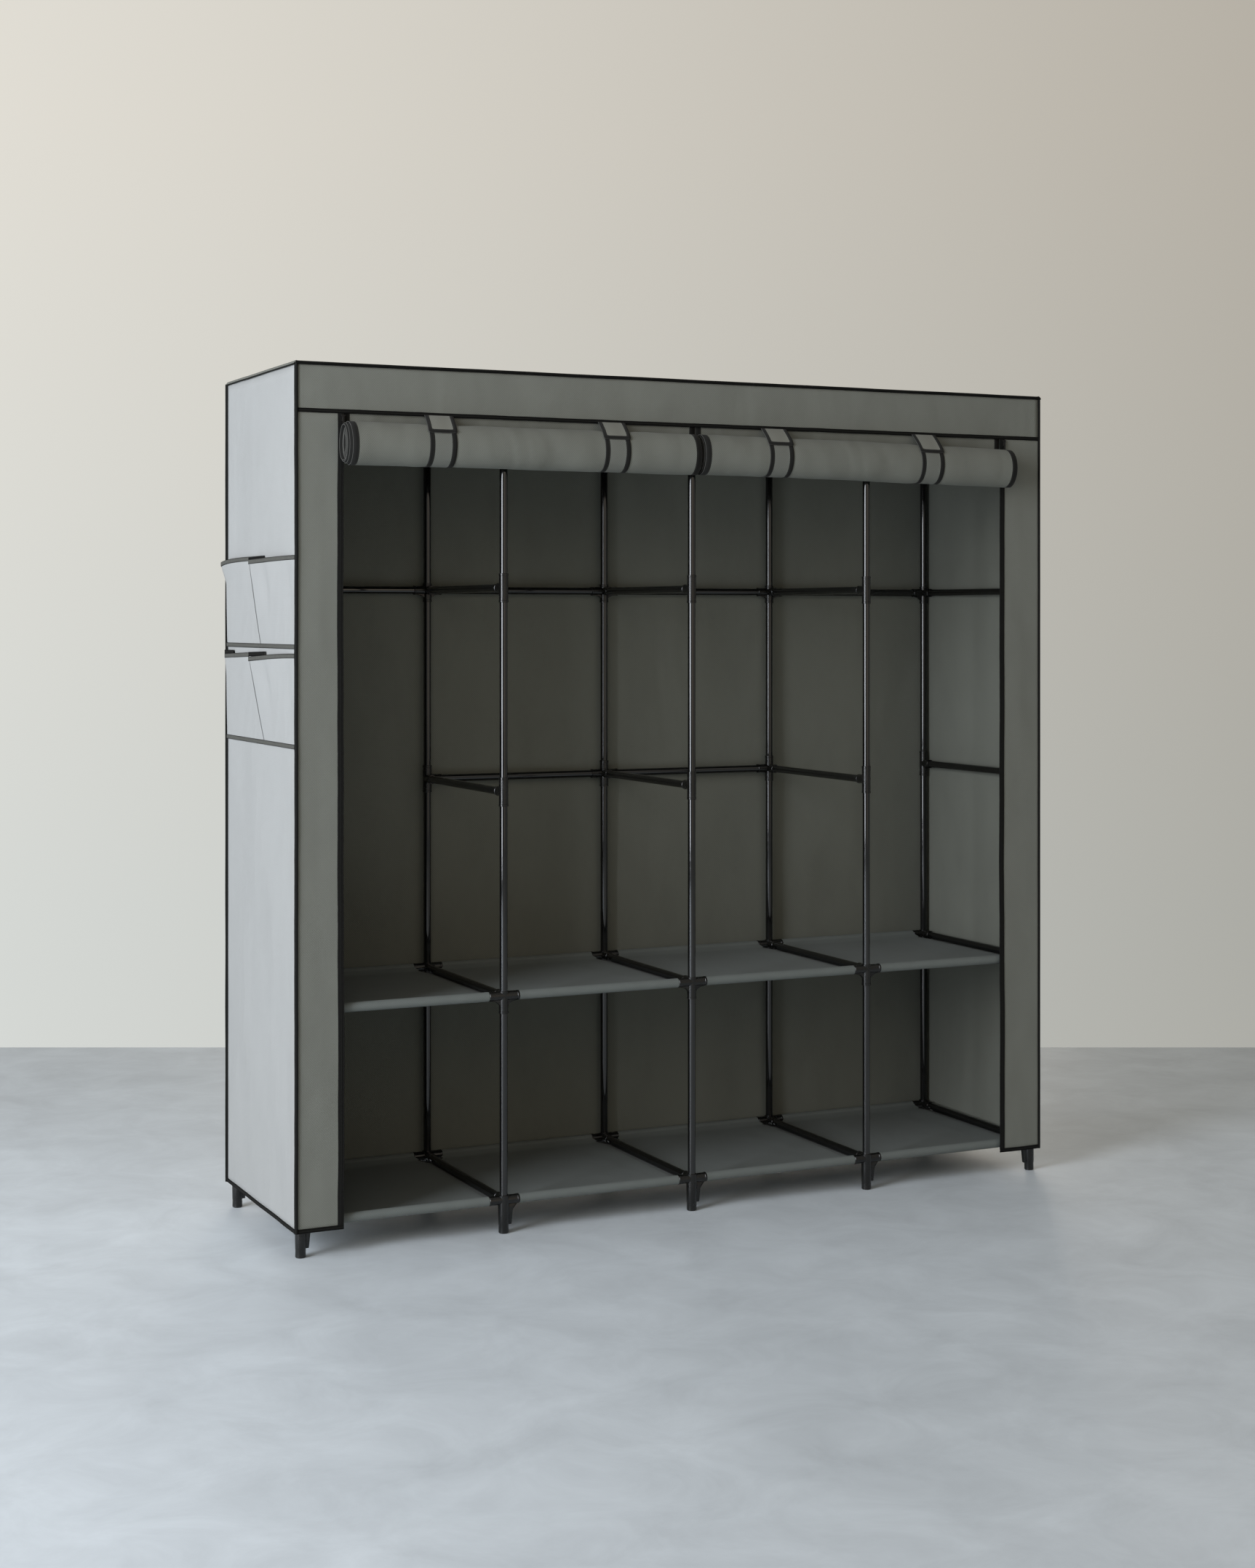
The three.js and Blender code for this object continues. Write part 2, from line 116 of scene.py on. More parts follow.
def object_of(name: str, patches: list[Patch], finish: Finish, sharp_degrees: float = 40.0,
              closed: bool = False, wall: float = 0.0, second: Finish | None = None) -> bpy.types.Object:
    """Joins patches into one mesh object at the origin.

    Args:
        name: the piece's name.
        patches: the grids that make it up.
        finish: what it is made of.
        sharp_degrees: edges over this angle stay sharp.
        closed: True for closed shells, whose faces are turned outwards.
        wall: thickness given to an open sheet, split evenly to both sides.
        second: finish of the sheet's second side.

    Returns:
        The linked object.
    """
    points, faces, pattern, edge, start = [], [], [], [], 0
    for item in patches:
        rows, columns = item.points.shape[:2]
        index = np.arange(rows * columns).reshape(rows, columns) + start
        quads = np.stack([index[:-1, :-1], index[:-1, 1:], index[1:, 1:], index[1:, :-1]], axis=2)
        points.append(item.points.reshape(-1, 3))
        pattern.append(item.pattern.reshape(-1, 2))
        edge.append(item.edge.ravel())
        faces.append(quads.reshape(-1, 4))
        start += rows * columns
    corners = np.concatenate(faces)
    mesh = bpy.data.meshes.new(name)
    mesh.from_pydata(np.concatenate(points), [], corners)
    layer = mesh.uv_layers.new(name="pattern")
    layer.data.foreach_set("uv", np.concatenate(pattern)[corners.ravel()].astype(np.float32).ravel())
    attribute = mesh.attributes.new("edge", "FLOAT", "POINT")
    attribute.data.foreach_set("value", np.concatenate(edge).astype(np.float32))
    shape = bmesh.new()
    shape.from_mesh(mesh)
    bmesh.ops.remove_doubles(shape, verts=shape.verts, dist=1e-6)
    if closed:
        bmesh.ops.recalc_face_normals(shape, faces=shape.faces)
    shape.to_mesh(mesh)
    shape.free()
    mesh.shade_smooth()
    mesh.set_sharp_from_angle(angle=math.radians(sharp_degrees))
    mesh.materials.append(finish.material())
    made = bpy.data.objects.new(name, mesh)
    bpy.context.scene.collection.objects.link(made)
    if wall:
        solidify = made.modifiers.new("cloth thickness", "SOLIDIFY")
        solidify.thickness = wall
        solidify.offset = 0.0
        if second is not None:
            mesh.materials.append(second.material())
            solidify.material_offset = 1
    return made


def revolved(origin: tuple, direction: tuple, profile: list[Pair], sides: int = 28) -> Patch:
    """A turned shape: each (s, r) of the profile gives the ring origin + s d + r (u cos a + v sin a).

    Args:
        origin: where the axis starts.
        direction: the axis, of any length.
        profile: distances along the axis with their radii.
        sides: steps round the axis.

    Returns:
        The patch, whose pattern is metres round the axis and along the profile.
    """
    axis = np.array(direction, float)
    axis /= np.linalg.norm(axis)
    side = np.cross(axis, UP if abs(axis[2]) < 0.9 else RIGHT)
    side /= np.linalg.norm(side)
    third = np.cross(axis, side)
    along, radius = np.array(profile, float).T
    angle = np.linspace(0.0, 2 * math.pi, sides + 1)
    ring = np.cos(angle)[:, None] * side + np.sin(angle)[:, None] * third
    points = np.array(origin) + along[:, None, None] * axis + radius[:, None, None] * ring
    points[:, -1] = points[:, 0]
    run = np.concatenate([[0.0], np.hypot(np.diff(along), np.diff(radius)).cumsum()])
    round_way = angle * max(radius.max(), MM)
    pattern = np.stack(np.broadcast_arrays(round_way[None, :], run[:, None]), axis=2)
    return patch(points, pattern)


def carried(path: Array, across: Array, out: Array, profile: Array) -> Patch:
    """A closed profile carried along a path: path + a across + b out for each (a, b), closed at both ends.

    Args:
        path: n x 3 array of places.
        across: 3 or n x 3 array, the profile's first direction.
        out: 3 or n x 3 array, the profile's second direction.
        profile: k x 2 or n x k x 2 array in metres, in order round the section.

    Returns:
        The closed patch. Its pattern is metres along the path and round the section, and its edge is the
        distance along the first direction from the path.
    """
    count = len(path)
    across = np.broadcast_to(across, (count, 3))
    out = np.broadcast_to(out, (count, 3))
    profile = np.broadcast_to(profile, (count, *np.shape(profile)[-2:]))
    ring = np.concatenate([profile, profile[:, :1]], axis=1)
    body = path[:, None] + ring[..., :1] * across[:, None] + ring[..., 1:] * out[:, None]
    caps = [np.repeat(body[end, :-1].mean(axis=0)[None], ring.shape[1], axis=0)[None] for end in (0, -1)]
    points = np.concatenate([caps[0], body, caps[1]])
    run = np.concatenate([[0.0], np.linalg.norm(np.diff(path, axis=0), axis=1).cumsum()])
    run = np.concatenate([run[:1], run, run[-1:]])
    way = np.concatenate([[0.0], np.hypot(*np.diff(ring[0], axis=0).T).cumsum()])
    pattern = np.stack(np.broadcast_arrays(run[:, None], way[None, :]), axis=2)
    edge = np.concatenate([ring[:1, :, 0], ring[..., 0], ring[-1:, :, 0]])
    return patch(points, pattern, edge)


def rounded(width: float, thickness: float, corner_steps: int = 2) -> Array:
    """A rectangle centred on 0 whose corners are quarter circles of just under half its thickness.

    Args:
        width: first size, in metres.
        thickness: second size, in metres.
        corner_steps: steps of each corner.

    Returns:
        k x 2 array, in order round the section.
    """
    radius = 0.45 * min(width, thickness)
    quarter = np.linspace(0.0, math.pi / 2, corner_steps + 1)
    angles = np.concatenate([quarter + turn * math.pi / 2 for turn in range(4)])
    signs = np.repeat([[1, 1], [-1, 1], [-1, -1], [1, -1]], corner_steps + 1, axis=0)
    centres = signs * [width / 2 - radius, thickness / 2 - radius]
    return centres + radius * np.stack([np.cos(angles), np.sin(angles)], axis=1)


def smooth(value: Array | float, low: float, high: float) -> Array:
    """The smooth step 3t² - 2t³ from 0 at low to 1 at high."""
    share = np.clip((np.asarray(value, float) - low) / (high - low), 0.0, 1.0)
    return share * share * (3 - 2 * share)


@dataclass(frozen=True)
class Ripples:
    """Slack in a sheet, as a fixed sum of waves.

    Attributes:
        height: the tallest wave, in metres.
        span: the longest wave, in metres.
        seed: picks the set of waves.
        waves: how many waves are summed.
    """

    height: float
    span: float
    seed: int
    waves: int = 7

    def at(self, across: Array, along: Array) -> Array:
        """The sum of height_i sin(k_i · (across, along) + phase_i), where shorter waves are lower.

        Args:
            across: metres in the first direction.
            along: metres in the second direction, of the same shape.

        Returns:
            Heights in metres, of the same shape.
        """
        chance = np.random.default_rng(self.seed)
        total = np.zeros(np.broadcast(across, along).shape)
        for wave in range(self.waves):
            span = self.span / (1 + 0.7 * wave)
            turn = chance.uniform(0, math.pi)
            phase = chance.uniform(0, 2 * math.pi)
            way = (across * math.cos(turn) + along * math.sin(turn)) * 2 * math.pi / span
            total += self.height / (1 + wave) * np.sin(way + phase)
        return total


# Finishes


def linear(hex_colour: str) -> tuple[float, float, float, float]:
    """Turns an sRGB hex colour into linear values: v / 12.92 up to 0.04045, else ((v + 0.055) / 1.055)^2.4.

    Args:
        hex_colour: such as #6f716a.

    Returns:
        Red, green, blue and full alpha.
    """
    values = [int(hex_colour[at:at + 2], 16) / 255 for at in (1, 3, 5)]
    straight = [v / 12.92 if v <= 0.04045 else ((v + 0.055) / 1.055) ** 2.4 for v in values]
    return (*straight, 1.0)


def add_node(tree: Tree, kind: str, settings: dict | None = None, links: dict | None = None) -> bpy.types.Node:
    """Adds one node with its settings and links.

    Args:
        tree: the material's node tree.
        kind: the node's type name after ShaderNode.
        settings: values by property name, or by input name or number.
        links: output sockets by input name or number.

    Returns:
        The new node.
    """
    node = tree.nodes.new("ShaderNode" + kind)
    for key, value in (settings or {}).items():
        if isinstance(key, str) and hasattr(node, key):
            setattr(node, key, value)
        else:
            node.inputs[key].default_value = value
    for key, socket in (links or {}).items():
        tree.links.new(socket, node.inputs[key])
    return node


@dataclass(frozen=True)
class Finish:
    """What a surface is made of. Each kind of finish says how its shader is dressed.

    Attributes:
        name: the material's name.
        colour: its sRGB hex colour.
        roughness: its roughness, from 0 to 1.
    """

    name: str
    colour: str
    roughness: float
    _made: ClassVar[dict[str, bpy.types.Material]] = {}

    def material(self) -> bpy.types.Material:
        """The finish's material, made on first use.

        Returns:
            The material that every piece of this finish shares.
        """
        if self.name not in Finish._made:
            made = bpy.data.materials.new(self.name)
            made.use_nodes = True
            tree = made.node_tree
            shader = tree.nodes["Principled BSDF"]
            shader.inputs["Base Color"].default_value = linear(self.colour)
            shader.inputs["Roughness"].default_value = self.roughness
            self.dress(tree, shader)
            Finish._made[self.name] = made
        return Finish._made[self.name]

    def dress(self, tree: Tree, shader: bpy.types.Node) -> None:
        """Adds the finish's own nodes to the shader.

        Args:
            tree: the material's node tree.
            shader: its shader, which has the plain colour and roughness already.
        """
        raise NotImplementedError

    def tinted(self, tree: Tree, factor: Socket, dark: float, light: float) -> Socket:
        """The finish's colour times a number that runs from dark to light as the factor does from 0 to 1.

        Args:
            tree: the material's node tree.
            factor: a socket from 0 to 1.
            dark: the multiplier at 0.
            light: the multiplier at 1.

        Returns:
            The colour socket.
        """
        level = add_node(tree, "MapRange", {"To Min": dark, "To Max": light}, {"Value": factor})
        scaled = add_node(tree, "VectorMath", {"operation": "SCALE", 0: linear(self.colour)[:3]},
                          {"Scale": level.outputs["Result"]})
        return scaled.outputs["Vector"]


@dataclass(frozen=True)
class SpunbondCloth(Finish):
    """Non-woven polypropylene cloth, bonded by a hot roller that leaves rows of small dimples set cornerwise.

    The eye sees a matt felt-like grey with a faint diagonal grain and cloudy patches where the fibres lie
    thicker. The roller's real dimples are 1.5 mm apart; they are drawn dot_pitch apart, so that they show.

    Attributes:
        dot_pitch: distance between dimples, in metres.
        border: width of the dark binding drawn along bound edges, in metres, or 0.
        border_colour: the binding's colour.
        cloud: how far the fibre density changes the colour.
        sheen: strength of the fibres' pale fringe at grazing angles.
        buckle: depth of the soft upright buckles in the cloth, in metres.
        crease: half width of the painted fold shade, a dark band drawn where the edge attribute is 0, in
            metres, or 0.
        fibre_scale: tufts of fibre per metre, 2.4 mm each.
        cloud_scale: clouds per metre, 91 mm each.
        buckle_scale: buckles per metre, 167 mm each.
        edge_highlight_colour: painted highlight on the binding's folded outer edge.
        thread: the binding's sewing thread.
        painted_shade_colour: colour of the painted fold shade.
    """

    dot_pitch: float = 3.4 * MM
    border: float = 0.0
    border_colour: str = "#151513"
    cloud: float = 0.07
    sheen: float = 0.04
    buckle: float = 14 * MM
    crease: float = 0.0
    fibre_scale: float = 420.0
    cloud_scale: float = 11.0
    buckle_scale: float = 6.0
    edge_highlight_colour: str = "#4a4a46"
    thread: str = "#2c2c29"
    painted_shade_colour: str = "#2b2c2b"

    def dress(self, tree: Tree, shader: bpy.types.Node) -> None:
        """Dimples, fibres and clouds on the piece's pattern coordinates, then the bound border."""
        pattern = add_node(tree, "UVMap", {"uv_map": "pattern"}).outputs["UV"]
        corner = add_node(tree, "Mapping", {"Rotation": (0.0, 0.0, math.radians(45))},
                          {"Vector": pattern}).outputs["Vector"]
        dots = add_node(tree, "TexVoronoi",
                        {"voronoi_dimensions": "2D", "Scale": 1 / self.dot_pitch, "Randomness": 0.0},
                        {"Vector": corner}).outputs["Distance"]
        dimple = add_node(tree, "MapRange", {"From Min": 0.12, "From Max": 0.42, "To Min": 0.0},
                          {"Value": dots}).outputs["Result"]
        fibre = add_node(tree, "TexNoise",
                         {"noise_dimensions": "2D", "Scale": self.fibre_scale, "Detail": 3.0,
                          "Roughness": 0.65},
                         {"Vector": pattern}).outputs["Fac"]
        drawn = add_node(tree, "Mapping", {"Scale": (1.0, 0.4, 1.0)}, {"Vector": pattern}).outputs["Vector"]
        cloud = add_node(tree, "TexNoise",
                         {"noise_dimensions": "2D", "Scale": self.cloud_scale, "Detail": 4.0,
                          "Roughness": 0.6},
                         {"Vector": drawn}).outputs["Fac"]
        grain = add_node(tree, "Mix", {"Factor": 0.35}, {2: cloud, 3: fibre}).outputs[0]
        shade = add_node(tree, "Math", {"operation": "MULTIPLY_ADD", 1: 0.5}, {0: dimple, 2: grain}).outputs[0]
        colour = self.tinted(tree, shade, 1 - 4 * self.cloud, 1 + 2 * self.cloud)
        crease = add_node(tree, "TexNoise",
                          {"noise_dimensions": "2D", "Scale": self.buckle_scale, "Detail": 2.0,
                           "Distortion": 0.4},
                          {"Vector": drawn}).outputs["Fac"]
        fine = add_node(tree, "Math", {"operation": "MULTIPLY_ADD", 1: 0.5}, {0: dimple, 2: fibre}).outputs[0]
        relief = add_node(tree, "Bump", {"Strength": 0.35, "Distance": 0.5 * MM}, {"Height": fine})
        folds = add_node(tree, "Bump", {"Strength": 0.35, "Distance": self.buckle},
                         {"Height": crease, "Normal": relief.outputs["Normal"]})
        normal = folds.outputs["Normal"]
        if self.border:
            colour, normal = self.bound(tree, pattern, colour, normal)
        # Painted shade: a dark band along the pleat's edge, where the edge attribute is near 0, stands in for
        # the shadow beside the fold.
        if self.crease:
            edge = add_node(tree, "Attribute", {"attribute_name": "edge"}).outputs["Fac"]
            painted_shade_mask = add_node(tree, "MapRange",
                               {"interpolation_type": "SMOOTHSTEP", "From Max": self.crease, "To Min": 1.0,
                                "To Max": 0.0}, {"Value": edge}).outputs["Result"]
            colour = add_node(tree, "Mix", {"data_type": "RGBA", 7: linear(self.painted_shade_colour)},
                              {0: painted_shade_mask, 6: colour}).outputs[2]
        tree.links.new(colour, shader.inputs["Base Color"])
        tree.links.new(normal, shader.inputs["Normal"])
        shader.inputs["Sheen Weight"].default_value = self.sheen
        shader.inputs["Specular IOR Level"].default_value = 0.25

    def bound(self, tree: Tree, pattern: Socket, colour: Socket, normal: Socket) -> tuple[Socket, Socket]:
        """Draws a folded tape along the bound edges, with a painted highlight along its fold and a stitch line.

        Args:
            tree: the material's node tree.
            pattern: the piece's pattern coordinates.
            colour: the cloth's colour.
            normal: the cloth's normal.

        Returns:
            The colour and the normal with the tape on them.
        """
        edge = add_node(tree, "Attribute", {"attribute_name": "edge"}).outputs["Fac"]
        inside = add_node(tree, "MapRange",
                          {"From Min": self.border - 0.6 * MM, "From Max": self.border + 0.2 * MM},
                          {"Value": edge}).outputs["Result"]
        # Painted highlight: the outer 0.7 mm of the tape turns pale, as if its fold caught the light.
        fold = add_node(tree, "MapRange", {"From Min": 0.1 * MM, "From Max": 0.7 * MM,
                                                     "To Min": 1.0, "To Max": 0.0},
                        {"Value": edge}).outputs["Result"]
        tape = add_node(tree, "Mix",
                        {"data_type": "RGBA", 6: linear(self.border_colour), 7: linear(self.edge_highlight_colour)},
                        {0: fold}).outputs[2]
        stitch = stitches(tree, pattern, edge, self.border - 2.2 * MM)
        sewn = add_node(tree, "Mix", {"data_type": "RGBA", 7: linear(self.thread)},
                        {0: stitch, 6: tape}).outputs[2]
        mixed = add_node(tree, "Mix", {"data_type": "RGBA"}, {0: inside, 6: sewn, 7: colour}).outputs[2]
        step = add_node(tree, "Bump", {"Strength": 1.0, "Distance": 0.8 * MM, "invert": True},
                        {"Height": inside, "Normal": normal}).outputs["Normal"]
        return mixed, step


def stitches(tree: Tree, pattern: Socket, edge: Socket, inset: float, pitch: float = 3.2 * MM) -> Socket:
    """A dashed thread along an edge: 1 where |edge - inset| is under half a thread and the dash is on.

    Args:
        tree: the material's node tree.
        pattern: pattern coordinates, whose sum runs along every edge.
        edge: metres to the edge.
        inset: the thread's distance from the edge, in metres.
        pitch: length of one stitch and its gap, in metres.

    Returns:
        A socket from 0 to 1.
    """
    split = add_node(tree, "SeparateXYZ", links={"Vector": pattern})
    run = add_node(tree, "Math", {"operation": "ADD"},
                   {0: split.outputs["X"], 1: split.outputs["Y"]}).outputs[0]
    wave = add_node(tree, "Math", {"operation": "PINGPONG", 1: pitch / 2}, {0: run}).outputs[0]
    gap, half_thread = pitch * 0.14, 0.45 * MM
    dash = add_node(tree, "Math", {"operation": "GREATER_THAN", 1: gap}, {0: wave}).outputs[0]
    near = add_node(tree, "Math", {"operation": "COMPARE", 1: inset, 2: half_thread}, {0: edge}).outputs[0]
    return add_node(tree, "Math", {"operation": "MULTIPLY"}, {0: dash, 1: near}).outputs[0]


@dataclass(frozen=True)
class BindingTape(Finish):
    """Folded non-woven tape sewn over the edges. The eye sees a dark matt ribbon with a dashed thread.

    Attributes:
        thread: colour of the sewing thread.
        rib_pitch: distance between the tape's fine cross ribs, drawn coarse enough to show, in metres.
        rim: half width of the tape's middle, beyond which both sides carry painted shade, in metres, or 0 for
            none.
        lint_scale: specks of lint per metre, 6 mm each.
        painted_shade_colour: the painted shade along the tape's sides.
    """

    thread: str = "#4b4b47"
    rib_pitch: float = 1.8 * MM
    rim: float = 0.0
    lint_scale: float = 160.0
    painted_shade_colour: str = "#1c1c1a"

    def dress(self, tree: Tree, shader: bpy.types.Node) -> None:
        """Cross ribs, lint and one thread line along the middle of the tape's outer face."""
        pattern = add_node(tree, "UVMap", {"uv_map": "pattern"}).outputs["UV"]
        split = add_node(tree, "SeparateXYZ", links={"Vector": pattern})
        rib = add_node(tree, "Math", {"operation": "PINGPONG", 1: self.rib_pitch / 2},
                       {0: split.outputs["X"]}).outputs[0]
        ridge = add_node(tree, "MapRange", {"From Max": self.rib_pitch / 2}, {"Value": rib}).outputs[0]
        lint = add_node(tree, "TexNoise",
                        {"noise_dimensions": "2D", "Scale": self.lint_scale, "Detail": 4.0,
                          "Roughness": 0.7},
                        {"Vector": pattern}).outputs["Fac"]
        colour = self.tinted(tree, lint, 0.72, 1.35)
        attribute = add_node(tree, "Attribute", {"attribute_name": "edge"}).outputs["Fac"]
        thread = stitches(tree, pattern, attribute, 0.0)
        sewn = add_node(tree, "Mix", {"data_type": "RGBA", 7: linear(self.thread)},
                        {0: thread, 6: colour}).outputs[2]
        # Painted shade: beyond the rim both sides of the tape turn dark, for the shadow in the gaps beside it.
        if self.rim:
            away = add_node(tree, "Math", {"operation": "ABSOLUTE"}, {0: attribute}).outputs[0]
            painted_shade_mask = add_node(tree, "MapRange",
                               {"From Min": self.rim - 0.4 * MM, "From Max": self.rim + 0.4 * MM},
                               {"Value": away}).outputs["Result"]
            sewn = add_node(tree, "Mix", {"data_type": "RGBA", 7: linear(self.painted_shade_colour)},
                            {0: painted_shade_mask, 6: sewn}).outputs[2]
        height = add_node(tree, "Math", {"operation": "MULTIPLY_ADD", 1: 0.6}, {0: ridge, 2: lint}).outputs[0]
        bump = add_node(tree, "Bump", {"Strength": 0.5, "Distance": 0.4 * MM}, {"Height": height})
        tree.links.new(sewn, shader.inputs["Base Color"])
        tree.links.new(bump.outputs["Normal"], shader.inputs["Normal"])
        shader.inputs["Specular IOR Level"].default_value = 0.08


@dataclass(frozen=True)
class StoveEnamel(Finish):
    """Black enamel baked on steel tube. It gives a deep gloss with sharp streaks of light and faint rubs.

    Attributes:
        peel_scale: ripples of the coat per metre, 11 mm each.
        rub_scale: rubbed places per metre, 71 mm each.
    """

    peel_scale: float = 90.0
    rub_scale: float = 14.0

    def dress(self, tree: Tree, shader: bpy.types.Node) -> None:
        """Orange peel in the coat, and dull rubs drawn out along the tube."""
        place = add_node(tree, "TexCoord").outputs["Object"]
        peel = add_node(tree, "TexNoise", {"Scale": self.peel_scale, "Detail": 1.0},
                        {"Vector": place}).outputs[0]
        rubs = add_node(tree, "TexNoise", {"Scale": self.rub_scale, "Detail": 3.0, "Roughness": 0.55},
                        {"Vector": place}).outputs["Fac"]
        dull = add_node(tree, "MapRange",
                        {"From Min": 0.55, "From Max": 0.8, "To Min": self.roughness,
                         "To Max": self.roughness + 0.12}, {"Value": rubs}).outputs["Result"]
        bump = add_node(tree, "Bump", {"Strength": 0.05, "Distance": 0.2 * MM}, {"Height": peel})
        tree.links.new(self.tinted(tree, rubs, 0.8, 1.5), shader.inputs["Base Color"])
        tree.links.new(dull, shader.inputs["Roughness"])
        tree.links.new(bump.outputs["Normal"], shader.inputs["Normal"])
        shader.inputs["Specular IOR Level"].default_value = 0.8


@dataclass(frozen=True)
class MouldedPlastic(Finish):
    """Injection-moulded polypropylene. It is satin black with a fine spark-eroded grain and soft scuffs.

    Attributes:
        grain_scale: grains per metre, 0.7 mm each.
        scuff_scale: scuffs per metre, 25 mm each.
    """

    grain_scale: float = 1400.0
    scuff_scale: float = 40.0

    def dress(self, tree: Tree, shader: bpy.types.Node) -> None:
        """Grain from the mould, and scuffs that dull and lighten it."""
        place = add_node(tree, "TexCoord").outputs["Object"]
        grain = add_node(tree, "TexNoise", {"Scale": self.grain_scale, "Detail": 2.0},
                         {"Vector": place}).outputs[0]
        scuff = add_node(tree, "TexNoise",
                         {"Scale": self.scuff_scale, "Detail": 5.0, "Roughness": 0.65},
                         {"Vector": place}).outputs["Fac"]
        dull = add_node(tree, "MapRange",
                        {"From Min": 0.4, "From Max": 0.7, "To Min": self.roughness - 0.06,
                         "To Max": self.roughness + 0.12}, {"Value": scuff}).outputs["Result"]
        bump = add_node(tree, "Bump", {"Strength": 0.12, "Distance": 0.1 * MM}, {"Height": grain})
        tree.links.new(self.tinted(tree, scuff, 0.75, 1.6), shader.inputs["Base Color"])
        tree.links.new(dull, shader.inputs["Roughness"])
        tree.links.new(bump.outputs["Normal"], shader.inputs["Normal"])


@dataclass(frozen=True)
class EnamelledZinc(Finish):
    """Die-cast zinc with black enamel. The eye sees a dark casting with small pits and a slight metal glint.

    Attributes:
        pit_scale: pits per metre, 1.1 mm each.
    """

    pit_scale: float = 900.0

    def dress(self, tree: Tree, shader: bpy.types.Node) -> None:
        """Enamel colour with small pits and a slight metal glint."""
        place = add_node(tree, "TexCoord").outputs["Object"]
        pits = add_node(tree, "TexNoise", {"Scale": self.pit_scale, "Detail": 3.0},
                        {"Vector": place}).outputs[0]
        bump = add_node(tree, "Bump", {"Strength": 0.2, "Distance": 0.1 * MM}, {"Height": pits})
        tree.links.new(self.tinted(tree, pits, 0.7, 1.8), shader.inputs["Base Color"])
        tree.links.new(bump.outputs["Normal"], shader.inputs["Normal"])
        shader.inputs["Metallic"].default_value = 0.6


@dataclass(frozen=True)
class FloatedConcrete(Finish):
    """Power-floated concrete floor: pale, with clouds from the trowel and a low sheen.

    Attributes:
        broad_scale: broad clouds per metre, 1.1 m each.
        fine_scale: fine clouds per metre, 180 mm each.
    """

    broad_scale: float = 0.9
    fine_scale: float = 5.5

    def dress(self, tree: Tree, shader: bpy.types.Node) -> None:
        """Broad and fine trowel clouds in the colour, and the broad ones in the roughness."""
        place = add_node(tree, "TexCoord").outputs["Object"]
        broad = add_node(tree, "TexNoise",
                         {"Scale": self.broad_scale, "Detail": 7.0, "Roughness": 0.62},
                         {"Vector": place}).outputs["Fac"]
        fine = add_node(tree, "TexNoise",
                        {"Scale": self.fine_scale, "Detail": 9.0, "Roughness": 0.66, "Distortion": 0.6},
                        {"Vector": place}).outputs["Fac"]
        cloud = add_node(tree, "Mix", {"Factor": 0.55}, {2: broad, 3: fine}).outputs[0]
        tree.links.new(self.tinted(tree, cloud, 0.55, 1.42), shader.inputs["Base Color"])
        dull = add_node(tree, "MapRange", {"To Min": self.roughness - 0.1,
                                                     "To Max": self.roughness + 0.15}, {"Value": broad})
        tree.links.new(dull.outputs["Result"], shader.inputs["Roughness"])
        shader.inputs["Specular IOR Level"].default_value = 0.3


COVER_CLOTH = SpunbondCloth("spunbond_cover_cloth", "#6f716a", 0.88)
DOOR_CLOTH = SpunbondCloth("spunbond_door_cloth", "#6b6d66", 0.88, border=13 * MM, cloud=0.09, buckle=32 * MM)
LINING_CLOTH = SpunbondCloth("spunbond_lining_cloth", "#65675f", 0.92)
# The end panels and the pockets are the cover's cloth drawn paler: painted light from the lamps on the left.
# The pockets' crease adds painted shade along the pleat.
SIDE_CLOTH_PAINTED_LIGHT = SpunbondCloth("spunbond_end_panel_cloth", "#929391", 0.9, cloud=0.035, buckle=26 * MM)
POCKET_CLOTH_PAINTED_LIGHT_AND_SHADE = SpunbondCloth("spunbond_pocket_cloth", "#929391", 0.9, cloud=0.035, buckle=40 * MM,
                             crease=7 * MM)
SHELF_CLOTH = SpunbondCloth("spunbond_shelf_cloth", "#646966", 0.9, border=6.2 * MM, cloud=0.04)
BAND_CLOTH = SpunbondCloth("spunbond_strap_band_cloth", "#6b6d67", 0.88, border=10.5 * MM)
TAB_CLOTH = SpunbondCloth("spunbond_strap_tab_cloth", "#7d7e76", 0.88, border=8.6 * MM)
EDGE_TAPE = BindingTape("sewn_edge_binding_tape", "#121211", 0.8, thread="#2a2a27")
# The roof's end tapes are the same black tape as the other edges, drawn pale grey as a painted highlight; their
# rim adds painted shade along both sides.
ROOF_TAPE_PAINTED_LIGHT_AND_SHADE = BindingTape("sewn_roof_end_binding_tape", "#6d6e68", 0.8, thread="#585954", rim=3.9 * MM)
# The pocket tape's grey is its own colour; its rim adds painted shade along both sides.
POCKET_TAPE = BindingTape("sewn_pocket_binding_tape", "#4b4b47", 0.8, thread="#565651", rim=3.5 * MM)
ZIP_TAPE = BindingTape("woven_zip_tape", "#171716", 0.75, thread="#262624", rib_pitch=2.4 * MM)
ENAMEL = StoveEnamel("stove_enamel_on_steel_tube", "#080808", 0.06)
PLASTIC = MouldedPlastic("moulded_polypropylene", "#0d0d0c", 0.24)
ZINC = EnamelledZinc("enamelled_die_cast_zinc", "#1b1b1b", 0.35)


# Places read from the solids


